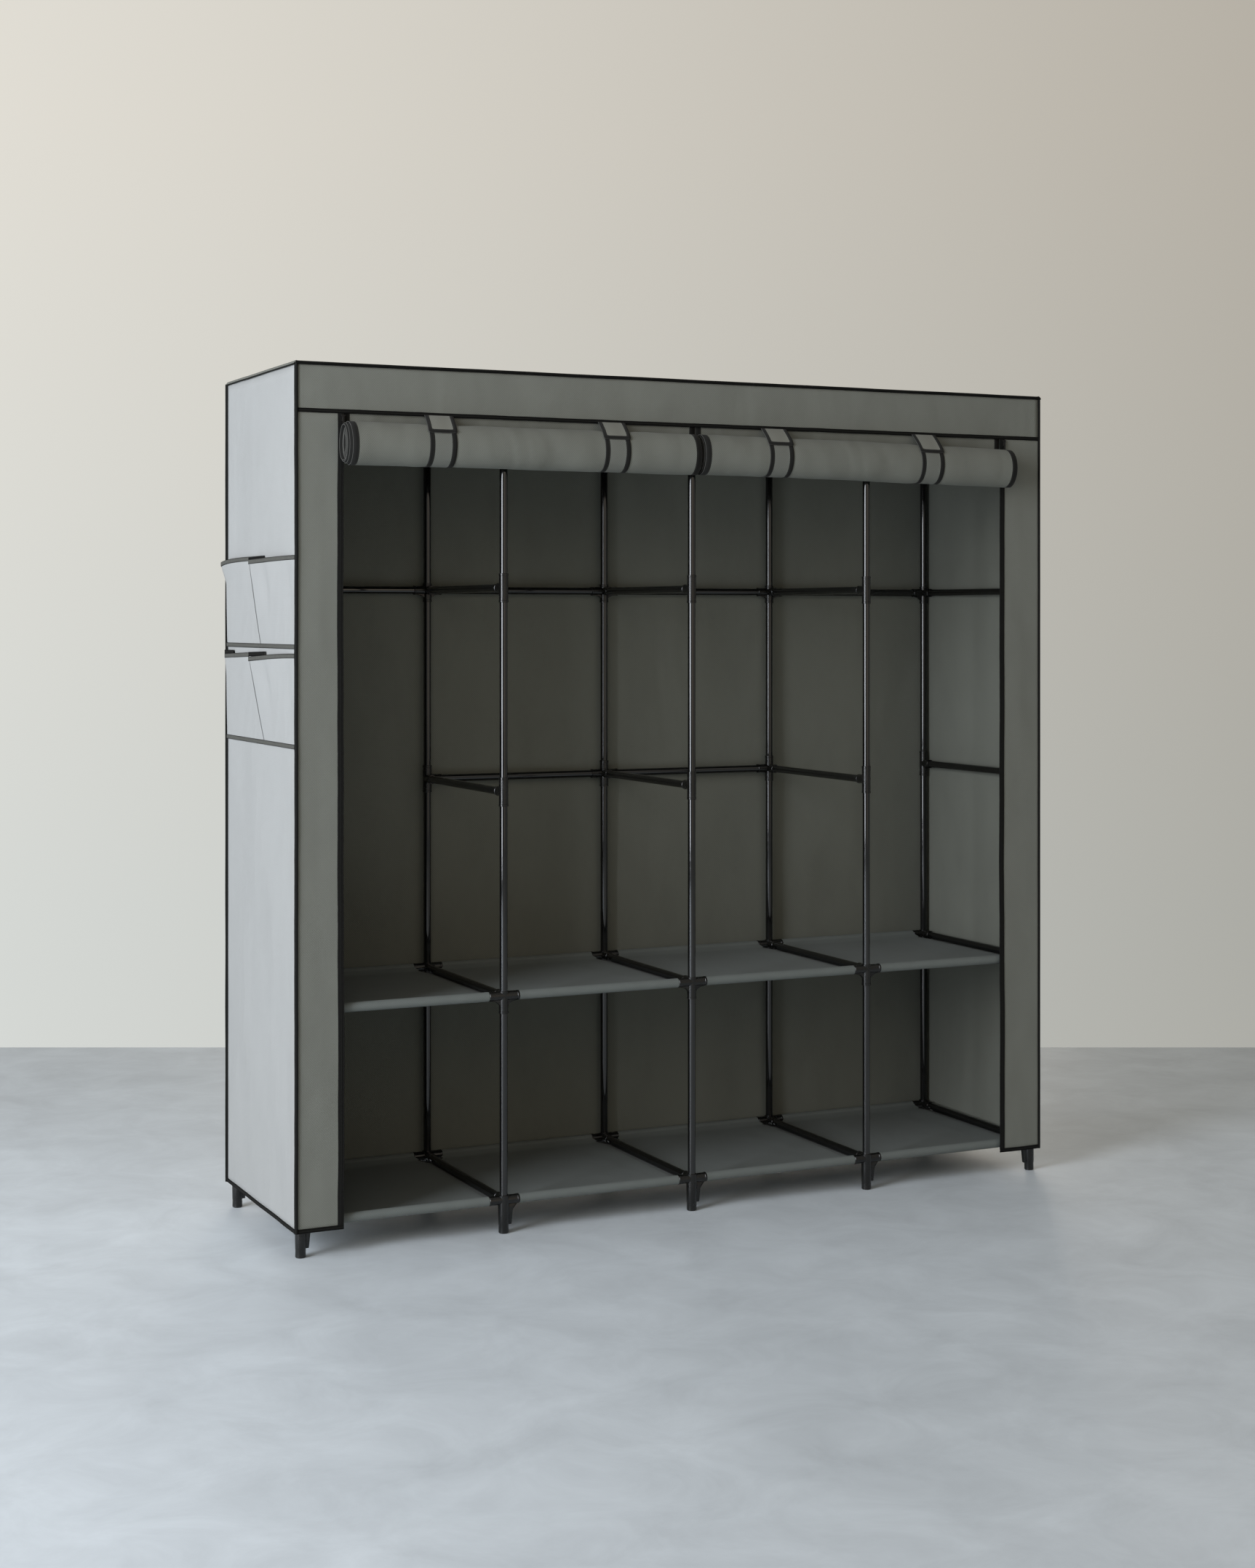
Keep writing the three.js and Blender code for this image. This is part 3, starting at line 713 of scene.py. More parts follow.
@dataclass(frozen=True)
class Layout:
    """Where the frame's axes and the cover's faces lie.

    Attributes:
        columns: X of the posts' axes, left to right.
        rows: Y of the front and the back posts' axes.
        levels: Z of the five levels of crossbars.
        left, right: outer X of the cover.
        front, back: outer Y of the cover.
        top, bottom: highest and lowest Z of the cover.
        header: Z of the header's lower seam.
        opening: X of the strips' inner edges.
        LAP: how far the left and the right inner edge lie to the left of the doors' outer sides.
    """

    columns: tuple[float, ...]
    rows: Pair
    levels: tuple[float, ...]
    left: float
    right: float
    front: float
    back: float
    top: float
    bottom: float
    header: float
    opening: Pair
    LAP: ClassVar[Pair] = (4.9 * MM, 4.2 * MM)

    @staticmethod
    def middle(node: str) -> tuple[float, float, float]:
        """The middle of a solid's box."""
        low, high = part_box(node)
        return tuple((a + b) / 2 for a, b in zip(low, high))

    @classmethod
    def from_frame(cls) -> Layout:
        """Reads the posts, the back rails, the cover, the doors and the straps.

        Returns:
            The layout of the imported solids.
        """
        posts = [cls.middle(f"front_post_{column}") for column in range(1, 6)]
        lower = cls.middle("lower_back_rail_2")[2]
        upper = cls.middle("upper_back_rail_2")[2]
        pitch = upper - lower
        low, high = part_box("cover_front")
        doors = [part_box(f"rolled_door_{side}") for side in ("left", "right")]
        hinge = next(joint for joint in frame["joints"] if joint["name"] == "strap_1_hinge")
        return cls(
            columns=tuple(post[0] for post in posts),
            rows=(posts[0][1], cls.middle("back_post_1")[1]),
            levels=tuple(lower + step * pitch for step in (-2, -1, 0, 1, 2)),
            left=low[0], right=high[0], front=low[1], back=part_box("cover_back")[1][1],
            top=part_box("cover_roof")[1][2], bottom=low[2], header=hinge["pos_m"][2],
            opening=(doors[0][0][0] - cls.LAP[0], doors[1][1][0] - cls.LAP[1]),
        )


def finish_piece(piece: bpy.types.Object, node: str, body: str = "wardrobe") -> bpy.types.Object:
    """Ties a piece to its body, hides the solid that it stands for, and reports it.

    Args:
        piece: the finished object.
        node: name of the solid it stands for.
        body: the body it moves with.

    Returns:
        The piece.
    """
    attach(piece, body)
    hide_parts(node)
    LOG.info("%s: %d faces on %s", piece.name, len(piece.data.polygons), body)
    return piece


def bar(start: tuple, end: tuple, radius: float, chamfer: float = 0.5 * MM) -> Patch:
    """A round bar: a profile of full radius whose two ends step in by the chamfer.

    Args:
        start, end: the ends of its axis.
        radius: its radius.
        chamfer: width of the step at its ends.

    Returns:
        The closed patch.
    """
    run = np.subtract(end, start)
    length = float(np.linalg.norm(run))
    profile = [(0.0, 0.0), (0.0, radius - chamfer), (chamfer, radius), (length - chamfer, radius),
               (length, radius - chamfer), (length, 0.0)]
    return revolved(start, tuple(run), profile)


def plate(outline: Array, middle: float, thickness: float, easing: float = 0.06) -> Patch:
    """A flat moulded web in the X-Z plane: the outline carried along Y, and drawn in a little at both faces.

    Args:
        outline: k x 2 array of X and Z, in order round the web.
        middle: Y of its middle.
        thickness: its thickness along Y.
        easing: share by which the outline shrinks at the faces.

    Returns:
        The closed patch.
    """
    centre = outline.mean(axis=0)
    scale = np.array([1 - easing, 1.0, 1.0, 1 - easing])[:, None, None]
    half = thickness / 2
    stations = np.array([-half, -half + 0.5 * MM, half - 0.5 * MM, half])
    path = np.stack([np.zeros(4), middle + stations, np.zeros(4)], axis=1)
    return carried(path, RIGHT, UP, centre + (outline - centre) * scale)


# Tubes and connectors


class Row(Enum):
    """A row of posts. Its value is the way from the row to the inside, along Y."""

    FRONT = 1
    BACK = -1


class Level(Enum):
    """A level of crossbars. Its value is the first word of its solids' names."""

    FOOT = "foot"
    SHELF = "shelf"
    LOWER = "lower"
    UPPER = "upper"
    TOP = "top"

    @property
    def place(self) -> int:
        """The level's number from the floor up."""
        return list(Level).index(self)


@dataclass(frozen=True)
class Connector:
    """One moulded connector: a sleeve round its post, arms for rails and a socket for the crossbar.

    Attributes:
        x, y, z: where the axes of post and crossbar meet.
        row: the row it stands in.
        drop: how far the sleeve reaches below z.
        rise: how far it reaches above z.
        sides: -1 and 1 for the sides that have a rail.
        webbed: True if a web braces the arms.
        footed: True if it stands on the floor.
        radius: outer radius of sleeve and sockets.
        lip: height of the rings at their mouths.
        lip_length: length of those rings.
        arm_reach, bar_reach: length of the arms and of the crossbar's socket.
        foot_radius, collar_radius: the leg's radius near the floor and at its top.
        rib_thickness, web_thickness: thickness of the foot's rib and of the web, along Y.
        web_reach: length of the web on each side.
        toe: size of the turned edge at the floor.
    """

    x: float
    y: float
    z: float
    row: Row
    drop: float
    rise: float
    sides: tuple[int, ...] = ()
    webbed: bool = False
    footed: bool = False
    radius: float = 9.3 * MM
    lip: float = 0.5 * MM
    lip_length: float = 4.0 * MM
    arm_reach: float = 31.9 * MM
    bar_reach: float = 30.0 * MM
    foot_radius: float = 10.5 * MM
    collar_radius: float = 11.0 * MM
    rib_thickness: float = 7.0 * MM
    web_thickness: float = 9.0 * MM
    web_reach: float = 31 * MM
    toe: float = 1.6 * MM

    def lipped(self, length: float, low_lip: bool) -> list[Pair]:
        """Profile of a socket: a tube with a raised ring at its mouth, and at its start too if asked.

        Args:
            length: the socket's length.
            low_lip: True to raise a ring at the start as well.

        Returns:
            (distance, radius) pairs from end to end, both ends closed.
        """
        full, ease = self.radius + self.lip, 0.5 * MM
        start = [(0.0, 0.0), (0.0, full - ease), (ease, full), (self.lip_length, full),
                 (self.lip_length + ease, self.radius)] if low_lip else [(0.0, 0.0), (0.0, self.radius)]
        mouth = [(length - self.lip_length - ease, self.radius), (length - self.lip_length, full),
                 (length - ease, full), (length, full - ease), (length, 0.0)]
        return start + mouth

    def foot(self) -> list[Patch]:
        """A leg that tapers to a turned toe, and a rib on one side that runs up into the rail socket.

        Returns:
            The leg and the rib, as closed patches.
        """
        top = self.z + self.rise
        profile = [(0.0, 0.0), (0.0, self.foot_radius - self.toe), (self.toe, self.foot_radius - 0.2 * MM),
                   (16 * MM, self.foot_radius - 0.4 * MM), (17 * MM, self.foot_radius),
                   (self.z - 20 * MM, self.collar_radius - 0.2 * MM), (self.z - 14 * MM, self.collar_radius),
                   (top - 0.8 * MM, self.collar_radius), (top, self.collar_radius - 0.8 * MM), (top, 0.0)]
        leg = revolved((self.x, self.y, 0.0), UP, profile)
        side = self.sides[-1]
        reach = np.array([0.0, 15.5, 16.2, 18.3, 21.0, 25.0, 29.0, 29.0, 0.0]) * MM
        height = np.array([17.0, 17.0, 22.0, 43.0, 51.0, 56.5, 59.0, 66.0, 66.0]) * MM * self.z / (66 * MM)
        rib = np.stack([self.x + side * reach, height], axis=1)
        return [leg, plate(rib, self.y, self.rib_thickness, 0.03)]

    def web(self) -> Patch:
        """The web under the arms, whose lower edges are hollow.

        At the share t of its reach its depth is e + (d - e) (1 - t)^2.4, where d is near the sleeve's drop and
        e is near the arm's radius.

        Returns:
            The closed patch.
        """
        reach, deep, shallow = self.web_reach, self.drop * 0.92, self.radius * 0.9
        share = np.linspace(0.0, 1.0, 12)
        depth = shallow + (deep - shallow) * (1 - share) ** 2.4
        rim = np.stack([share * reach, -depth], axis=1)
        right = rim[::-1] if 1 in self.sides else np.array([[0.0, -depth[0]]])
        left = rim * [-1, 1] if -1 in self.sides else np.array([[0.0, -depth[0]]])
        top = [[reach if 1 in self.sides else 0.0, 0.0]]
        end = [[-reach if -1 in self.sides else 0.0, 0.0]]
        outline = np.concatenate([top, right, left, end]) + [self.x, self.z]
        return plate(outline, self.y, self.web_thickness, 0.04)

    def patches(self) -> list[Patch]:
        """Foot or sleeve, the crossbar's socket, the arms and the web.

        Returns:
            Every closed shell of the connector.
        """
        made = self.foot() if self.footed else [
            revolved((self.x, self.y, self.z - self.drop), UP,
                     self.lipped(self.drop + self.rise, True))]
        centre = (self.x, self.y, self.z)
        made.append(revolved(centre, (0.0, float(self.row.value), 0.0), self.lipped(self.bar_reach, False)))
        for side in self.sides:
            made.append(revolved(centre, (float(side), 0.0, 0.0), self.lipped(self.arm_reach, False)))
        if self.webbed:
            made.append(self.web())
        return made


@dataclass(frozen=True)
class TubeFrame:
    """Round steel tubes and the connectors that hold them.

    Attributes:
        layout: the frame's places.
        radius: the tubes' radius.
        sleeve: half the length of the plain sleeves.
        drop: how far the shelves' and the top connectors reach below their level.
        corner_drop, corner_rise: how far the rear connectors of level 4 reach below and above it.
        socket: how far the foot and shelf connectors reach above their level.
        top_rise: the same for the top connectors.
        bar_gap: from the posts' axes to the crossbars' ends.
        rail_reach: how far the rear tubes run past their solids, into the sockets.
        rail_gap: from the columns' axes to the top rails' ends.
        saddle: half length and radius of the saddles round the hanging rod.
    """

    layout: Layout
    radius: float = 7.95 * MM
    sleeve: float = 29 * MM
    drop: float = 35 * MM
    corner_drop: float = 25 * MM
    corner_rise: float = 15 * MM
    socket: float = 9.8 * MM
    top_rise: float = 19.5 * MM
    bar_gap: float = 11 * MM
    rail_reach: float = 8 * MM
    rail_gap: float = 12 * MM
    saddle: Pair = (18 * MM, 9.6 * MM)

    def sides_at(self, column: int, level: Level, row: Row) -> tuple[int, ...]:
        """Where a column carries rails.

        Args:
            column: 0 to 4 from the left.
            level: the level.
            row: front or back.

        Returns:
            -1 for the left, 1 for the right, or both.
        """
        bays = {Level.LOWER: (1, 2), Level.UPPER: (0, 3)}.get(level, (0, 3))
        if row is Row.FRONT and level in (Level.LOWER, Level.UPPER):
            return ()
        return tuple(side for side, bay in ((-1, column - 1), (1, column)) if bays[0] <= bay <= bays[1])

    def connector(self, column: int, level: Level, row: Row) -> Connector:
        """The connector of one post at one level.

        Args:
            column: 0 to 4 from the left.
            level: the level.
            row: front or back.

        Returns:
            The connector with its reaches, arms, web and foot.
        """
        x, z = self.layout.columns[column], self.layout.levels[level.place]
        y = self.layout.rows[0 if row is Row.FRONT else 1]
        sides = self.sides_at(column, level, row)
        plain = row is Row.FRONT or level is Level.LOWER
        reaches = {
            Level.FOOT: (z, self.socket), Level.SHELF: (self.drop, self.socket),
            Level.LOWER: (self.sleeve, self.sleeve),
            Level.UPPER: (self.sleeve, self.sleeve) if plain else (self.corner_drop, self.corner_rise),
            Level.TOP: (self.drop, self.top_rise),
        }
        drop, rise = reaches[level]
        webbed = level is Level.SHELF or (level is Level.UPPER and row is Row.BACK)
        return Connector(x, y, z, row, drop, rise, sides, webbed, level is Level.FOOT)

    def build_crossbars(self, level: Level) -> None:
        """The five crossbars of a level, each with a connector at its front and its back.

        Args:
            level: the level.
        """
        front, back = self.layout.rows
        z = self.layout.levels[level.place]
        for column, x in enumerate(self.layout.columns):
            node = "top_frame" if level is Level.TOP else f"{level.value}_crossbar_{column + 1}"
            for row in Row:
                made = object_of(f"{level.value}_connector_{row.name.lower()}_{column + 1}",
                                 self.connector(column, level, row).patches(), PLASTIC, closed=True)
                finish_piece(made, node)
            tube = object_of(f"{level.value}_tube_{column + 1}",
                             [bar((x, front + self.bar_gap, z), (x, back - self.bar_gap, z), self.radius)],
                             ENAMEL, closed=True)
            finish_piece(tube, node)

    def build_posts(self) -> None:
        """The ten posts. The joints between the tubes of a stack lie inside the connectors."""
        for row in ("front", "back"):
            for column in range(1, 6):
                node = f"{row}_post_{column}"
                low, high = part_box(node)
                x, y, _ = self.layout.middle(node)
                made = object_of(f"{row}_upright_{column}",
                                 [bar((x, y, low[2]), (x, y, high[2]), self.radius)], ENAMEL, closed=True)
                finish_piece(made, node)

    def build_rails(self) -> None:
        """The six bare rails at the back, and the rails and rods under the roof."""
        bays = [("lower", bay) for bay in (2, 3)] + [("upper", bay) for bay in (1, 2, 3, 4)]
        for level, bay in bays:
            node = f"{level}_back_rail_{bay}"
            low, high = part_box(node)
            _, y, z = self.layout.middle(node)
            start, end = (low[0] - self.rail_reach, y, z), (high[0] + self.rail_reach, y, z)
            made = object_of(f"{level}_rear_tube_{bay}", [bar(start, end, self.radius)], ENAMEL, closed=True)
            finish_piece(made, node)
        front, back = self.layout.rows
        middle, z = (front + back) / 2, self.layout.levels[Level.TOP.place]
        for name, y in (("front_rail", front), ("hanging_rod", middle), ("back_rail", back)):
            spans = zip(self.layout.columns[:-1], self.layout.columns[1:])
            parts = [bar((a + self.rail_gap, y, z), (b - self.rail_gap, y, z), self.radius) for a, b in spans]
            finish_piece(object_of(f"top_{name}", parts, ENAMEL, closed=True), "top_frame")
        half, radius = self.saddle
        profile = [(0.0, 0.0), (0.0, radius), (2 * half, radius), (2 * half, 0.0)]
        rings = [revolved((x - half, middle, z), RIGHT, profile) for x in self.layout.columns[1:-1]]
        finish_piece(object_of("top_rod_saddles", rings, PLASTIC, closed=True), "top_frame")

    def build(self) -> None:
        """Posts, rails and every level's crossbars."""
        self.build_posts()
        self.build_rails()
        for level in Level:
            self.build_crossbars(level)


# Cloth


def hung(corner: tuple, across: tuple, along: tuple, columns: int, rows: int,
         slack: Callable[[Array, Array], Array] | None = None) -> Patch:
    """A rectangle of cloth: corner + u across + v along + slack(u w, v h) n, with n their unit normal.

    Args:
        corner: the first corner.
        across: the whole first side.
        along: the whole second side.
        columns, rows: steps along the two sides.
        slack: metres out of the plane at metres across and along.

    Returns:
        The patch, whose edge is the distance to the nearest side of the rectangle.
    """
    width, height = np.linalg.norm(across), np.linalg.norm(along)
    u, v = np.meshgrid(np.linspace(0, 1, columns + 1), np.linspace(0, 1, rows + 1))
    normal = np.cross(across, along) / (width * height)
    points = np.array(corner) + u[..., None] * np.array(across) + v[..., None] * np.array(along)
    if slack is not None:
        points = points + slack(u * width, v * height)[..., None] * normal
    edge = np.minimum(np.minimum(u, 1 - u) * width, np.minimum(v, 1 - v) * height)
    return patch(points, np.stack([u * width, v * height], axis=2), edge)


@dataclass(frozen=True)
class Shelves:
    """Eight cloth shelves. Each is one sheet, folded round a rail at its front and at its back and sewn.

    Attributes:
        layout: the frame's places.
        sleeve: radius of the fold round the rail, at the cloth's middle.
        cloth: thickness of the cloth.
        sheet_level: height of the flat part above the rails' axes.
        overlap: length of the sewn part behind the fold.
        sag: how far the middle hangs down.
        tuck: how far the bound sides lie below the flat part, where they pass under the crossbars.
        corner: gap between the sheet's side and the crossbar's axis.
        socket: the same beside the connectors' sockets.
        end: gap between the fold's end and the post's axis.
        rail_gap: from the posts' axes to the hidden rails' ends.
        rail_radius: radius of the hidden rails.
    """

    layout: Layout
    sleeve: float = 8.9 * MM
    cloth: float = 0.9 * MM
    sheet_level: float = -5.2 * MM
    overlap: float = 24 * MM
    sag: float = 2.0 * MM
    tuck: float = 3.8 * MM
    corner: float = 0.8 * MM
    socket: float = 11.5 * MM
    end: float = 32.4 * MM
    rail_gap: float = 14 * MM
    rail_radius: float = 7.9 * MM

    def profile(self, span: float) -> tuple[Array, Array]:
        """The cloth from hem to hem, about the middle of the shelf and the rails' height.

        From the hem under the sheet it goes down to the rail, round it by the angle a from -60° over the
        bottom, the outside and the top to 20° above the inner side, then down to the sheet's level and
        across to the other rail, where it does the same.

        Args:
            span: from the front to the back rail.

        Returns:
            Y and Z of the cloth.
        """
        angle = np.radians(np.linspace(-60, -340, 29))
        fold = np.stack([-span / 2 + self.sleeve * np.cos(angle), self.sleeve * np.sin(angle)], axis=1)
        hem = np.stack([np.linspace(-span / 2 + self.overlap, -span / 2 + self.sleeve * 1.1, 6),
                        np.full(6, self.sheet_level - self.cloth * 1.2)], axis=1)
        hem[-2:, 1] -= np.array([0.4, 1.6]) * MM
        flat_y = np.linspace(-span / 2 + 10.4 * MM, 0.0, 24)
        left = 1 - smooth(flat_y, -span / 2 + 6 * MM, -span / 2 + 25 * MM)
        flat = np.stack([flat_y, self.sheet_level + (fold[-1, 1] - self.sheet_level) * left], axis=1)
        half = np.concatenate([hem, fold, flat])
        return tuple(np.concatenate([half, half[-2::-1] * [-1, 1]]).T)

    def sheet(self, bay: int, level: float, seed: int) -> Patch:
        """One shelf: its profile drawn across the bay between edges that step back round the connectors.

        Args:
            bay: 0 to 3 from the left.
            level: Z of the rails.
            seed: picks the waves.

        Returns:
            The patch, whose edge is the distance to the bound sides, and is far from them on the sleeves.
        """
        left, right = self.layout.columns[bay], self.layout.columns[bay + 1]
        front, back = self.layout.rows
        span = back - front
        y, z = self.profile(span)
        away = np.abs(y)
        beside_socket = smooth(away, span / 2 - 42 * MM, span / 2 - 33 * MM)
        beside_post = smooth(away, span / 2 - 32 * MM, span / 2 - 9 * MM)
        inset = (self.corner + (self.socket - self.corner) * beside_socket
                 + (self.end - self.socket) * beside_post)
        low, high = (left + inset)[:, None], (right - inset)[:, None]
        even = np.linspace(0, 1, 61)
        u = (even - 0.13 * np.sin(2 * math.pi * even))[None, :]
        x = low + (high - low) * u
        inner = smooth(span / 2 - away, 0, 60 * MM)[:, None]
        drape = np.sin(math.pi * u) ** 0.7 * (0.35 + 0.65 * np.sin(math.pi * (y[:, None] / span + 0.5)))
        waves = Ripples(0.5 * MM, 0.3, seed).at(x, y[:, None] + 0 * x)
        edge = np.minimum(x - low, high - x)
        side = 1 - smooth(edge, 1 * MM, 26 * MM)
        height = level + z[:, None] + inner * ((1 - side) * (waves - self.sag * drape) - side * self.tuck)
        points = np.stack([x, y[:, None] + (front + back) / 2 + 0 * x, height], axis=2)
        edge = edge + 30 * MM * smooth(away, span / 2 - 14 * MM, span / 2 - 11 * MM)[:, None]
        return patch(points, None, edge)

    def build(self) -> None:
        """Both tiers of sheets, each with its two hidden rails."""
        front, back = self.layout.rows
        tiers = (("bottom", self.layout.levels[0]), ("middle", self.layout.levels[1]))
        for tier, (name, level) in enumerate(tiers):
            for bay in range(4):
                node = f"{name}_shelf_{bay + 1}"
                cloth = object_of(f"{name}_shelf_cloth_{bay + 1}", [self.sheet(bay, level, 10 * tier + bay)],
                                  SHELF_CLOTH, wall=self.cloth)
                finish_piece(cloth, node)
                left, right = self.layout.columns[bay:bay + 2]
                left, right = left + self.rail_gap, right - self.rail_gap
                rails = [bar((left, y, level), (right, y, level), self.rail_radius) for y in (front, back)]
                tube = object_of(f"{name}_shelf_rails_{bay + 1}", rails, ENAMEL, closed=True)
                finish_piece(tube, node)


@dataclass(frozen=True)
class CoverPanels:
    """The cover's sheets: roof, back, ends, header band and the two front strips.

    Attributes:
        layout: the frame's places.
        cloth: thickness of one layer.
        inset: from the cover's outer face to the middle of a sheet.
    """

    layout: Layout
    cloth: float = 0.9 * MM
    inset: float = 0.75 * MM

    def slack(self, width: float, height: float, seed: int, depth: float = 1.6 * MM, span: float = 0.55,
              seams: Pair | None = None) -> Callable[[Array, Array], Array]:
        """Slack that dies out towards the sewn sides: ripples times a smooth step of the edge distance.

        Args:
            width, height: size of the sheet.
            seed: picks the ripples.
            depth: the tallest ripple.
            span: the longest ripple.
            seams: heights between which something sewn on holds the sheet flat, if any.

        Returns:
            The slack at metres across and along.
        """
        ripples = Ripples(depth, span, seed)

        def at(across: Array, along: Array) -> Array:
            """Metres out of the plane at metres across and along."""
            near = np.minimum(np.minimum(across, width - across), np.minimum(along, height - along))
            if seams is not None:
                near = np.minimum(near, np.maximum(seams[0] - along, along - seams[1]))
            return ripples.at(across, along * 0.45) * smooth(near, 0, 70 * MM)

        return at

    def wall(self, name: str, corner: tuple, across: tuple, height: float, columns: int, seed: int,
             finish: Finish, node: str, rows: int = 96, seams: Pair | None = None) -> None:
        """One upright sheet that hangs from the roof's edge, with the lining's finish on its inner side.

        Args:
            name: the piece's name.
            corner: its first lower corner.
            across: its whole lower side.
            height: its height.
            columns, rows: steps along its sides.
            seed: picks its ripples.
            finish: finish of its outer side.
            node: the solid it stands for.
            seams: heights between which something sewn on holds it flat, if any.
        """
        width = float(np.linalg.norm(across))
        slack = self.slack(width, height, seed, seams=seams)
        sheet = hung(corner, across, (0.0, 0.0, height), columns, rows, slack)
        made = object_of(name, [sheet], finish, wall=self.cloth, second=LINING_CLOTH)
        finish_piece(made, node)

    def roof(self) -> None:
        """The roof: it rests on the capped connectors and hangs between them by depth sin^1.4(pi v)."""
        place = self.layout
        width, depth = place.right - place.left, place.back - place.front

        def sag(across: Array, along: Array) -> Array:
            """Metres below the plane, deepest along the middle and half way between columns."""
            ends = smooth(np.minimum(across, width - across), 0, 0.2)
            bays = 0.55 + 0.45 * np.sin(math.pi * (across - (width - 1.68) / 2) / 0.42) ** 2
            return -6.5 * MM * ends * bays * np.sin(math.pi * along / depth) ** 1.4

        sheet = hung((place.left, place.front, place.top - self.inset), (width, 0.0, 0.0), (0.0, depth, 0.0),
                     120, 32, sag)
        made = object_of("roof_cloth", [sheet], COVER_CLOTH, wall=self.cloth, second=LINING_CLOTH)
        finish_piece(made, "cover_roof")

    def strip(self, name: str, low: float, high: float, seed: int, free: int) -> None:
        """One front strip. Its free inner edge wanders sideways by a slow wave that dies out at both ends.

        Args:
            name: the piece's name.
            low, high: X of its sides.
            seed: picks its waves.
            free: 1 if the free side is the high one, else -1.
        """
        place = self.layout
        height = place.header - place.bottom
        sheet = hung((low, place.front + self.inset, place.bottom), (high - low, 0.0, 0.0),
                     (0.0, 0.0, height), 14, 110, self.slack(high - low, height, seed, 0.9 * MM, 0.4))
        share = sheet.pattern[..., 0] / (high - low)
        share = share if free > 0 else 1 - share
        sheet.points[..., 0] += self.wander(sheet.points[..., 2], seed) * share
        made = object_of(name, [sheet], COVER_CLOTH, wall=self.cloth, second=LINING_CLOTH)
        finish_piece(made, "cover_front")

    def wander(self, height: Array, seed: int) -> Array:
        """Sideways drift of a strip's free edge: two slow sines, zero at the header and hem.

        Args:
            height: Z of each place.
            seed: the strip's seed.

        Returns:
            Metres to the right.
        """
        place = self.layout
        share = (height - place.bottom) / (place.header - place.bottom)
        return 1.4 * MM * np.sin(math.pi * share) * (np.sin(5.1 * share + seed) + 0.5 * np.sin(13.0 * share))

    def build(self) -> None:
        """All sheets of the cover."""
        place = self.layout
        tall = place.top - 2 * self.inset - place.bottom
        width, depth = place.right - place.left, place.back - place.front
        self.roof()
        self.wall("back_cloth", (place.right, place.back - self.inset, place.bottom), (-width, 0.0, 0.0),
                  tall, 110, 3, COVER_CLOTH, "cover_back")
        pockets = (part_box("pocket_row_lower")[0][2] - place.bottom,
                   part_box("pocket_row_upper")[1][2] - place.bottom)
        # Both end panels take the paler cloth with painted light.
        self.wall("left_end_cloth", (place.left + self.inset, place.back, place.bottom), (0.0, -depth, 0.0),
                  tall, 40, 4, SIDE_CLOTH_PAINTED_LIGHT, "cover_left_side", seams=pockets)
        self.wall("right_end_cloth", (place.right - self.inset, place.front, place.bottom), (0.0, depth, 0.0),
                  tall, 40, 5, SIDE_CLOTH_PAINTED_LIGHT, "cover_right_side")
        low = place.header - 3 * MM
        self.wall("front_header_cloth", (place.left, place.front + self.inset, low), (width, 0.0, 0.0),
                  place.top - self.inset - low, 120, 6, COVER_CLOTH, "cover_front", rows=10)
        self.strip("left_front_strip", place.left, place.opening[0], 1, 1)
        self.strip("right_front_strip", place.opening[1], place.right, 2, -1)


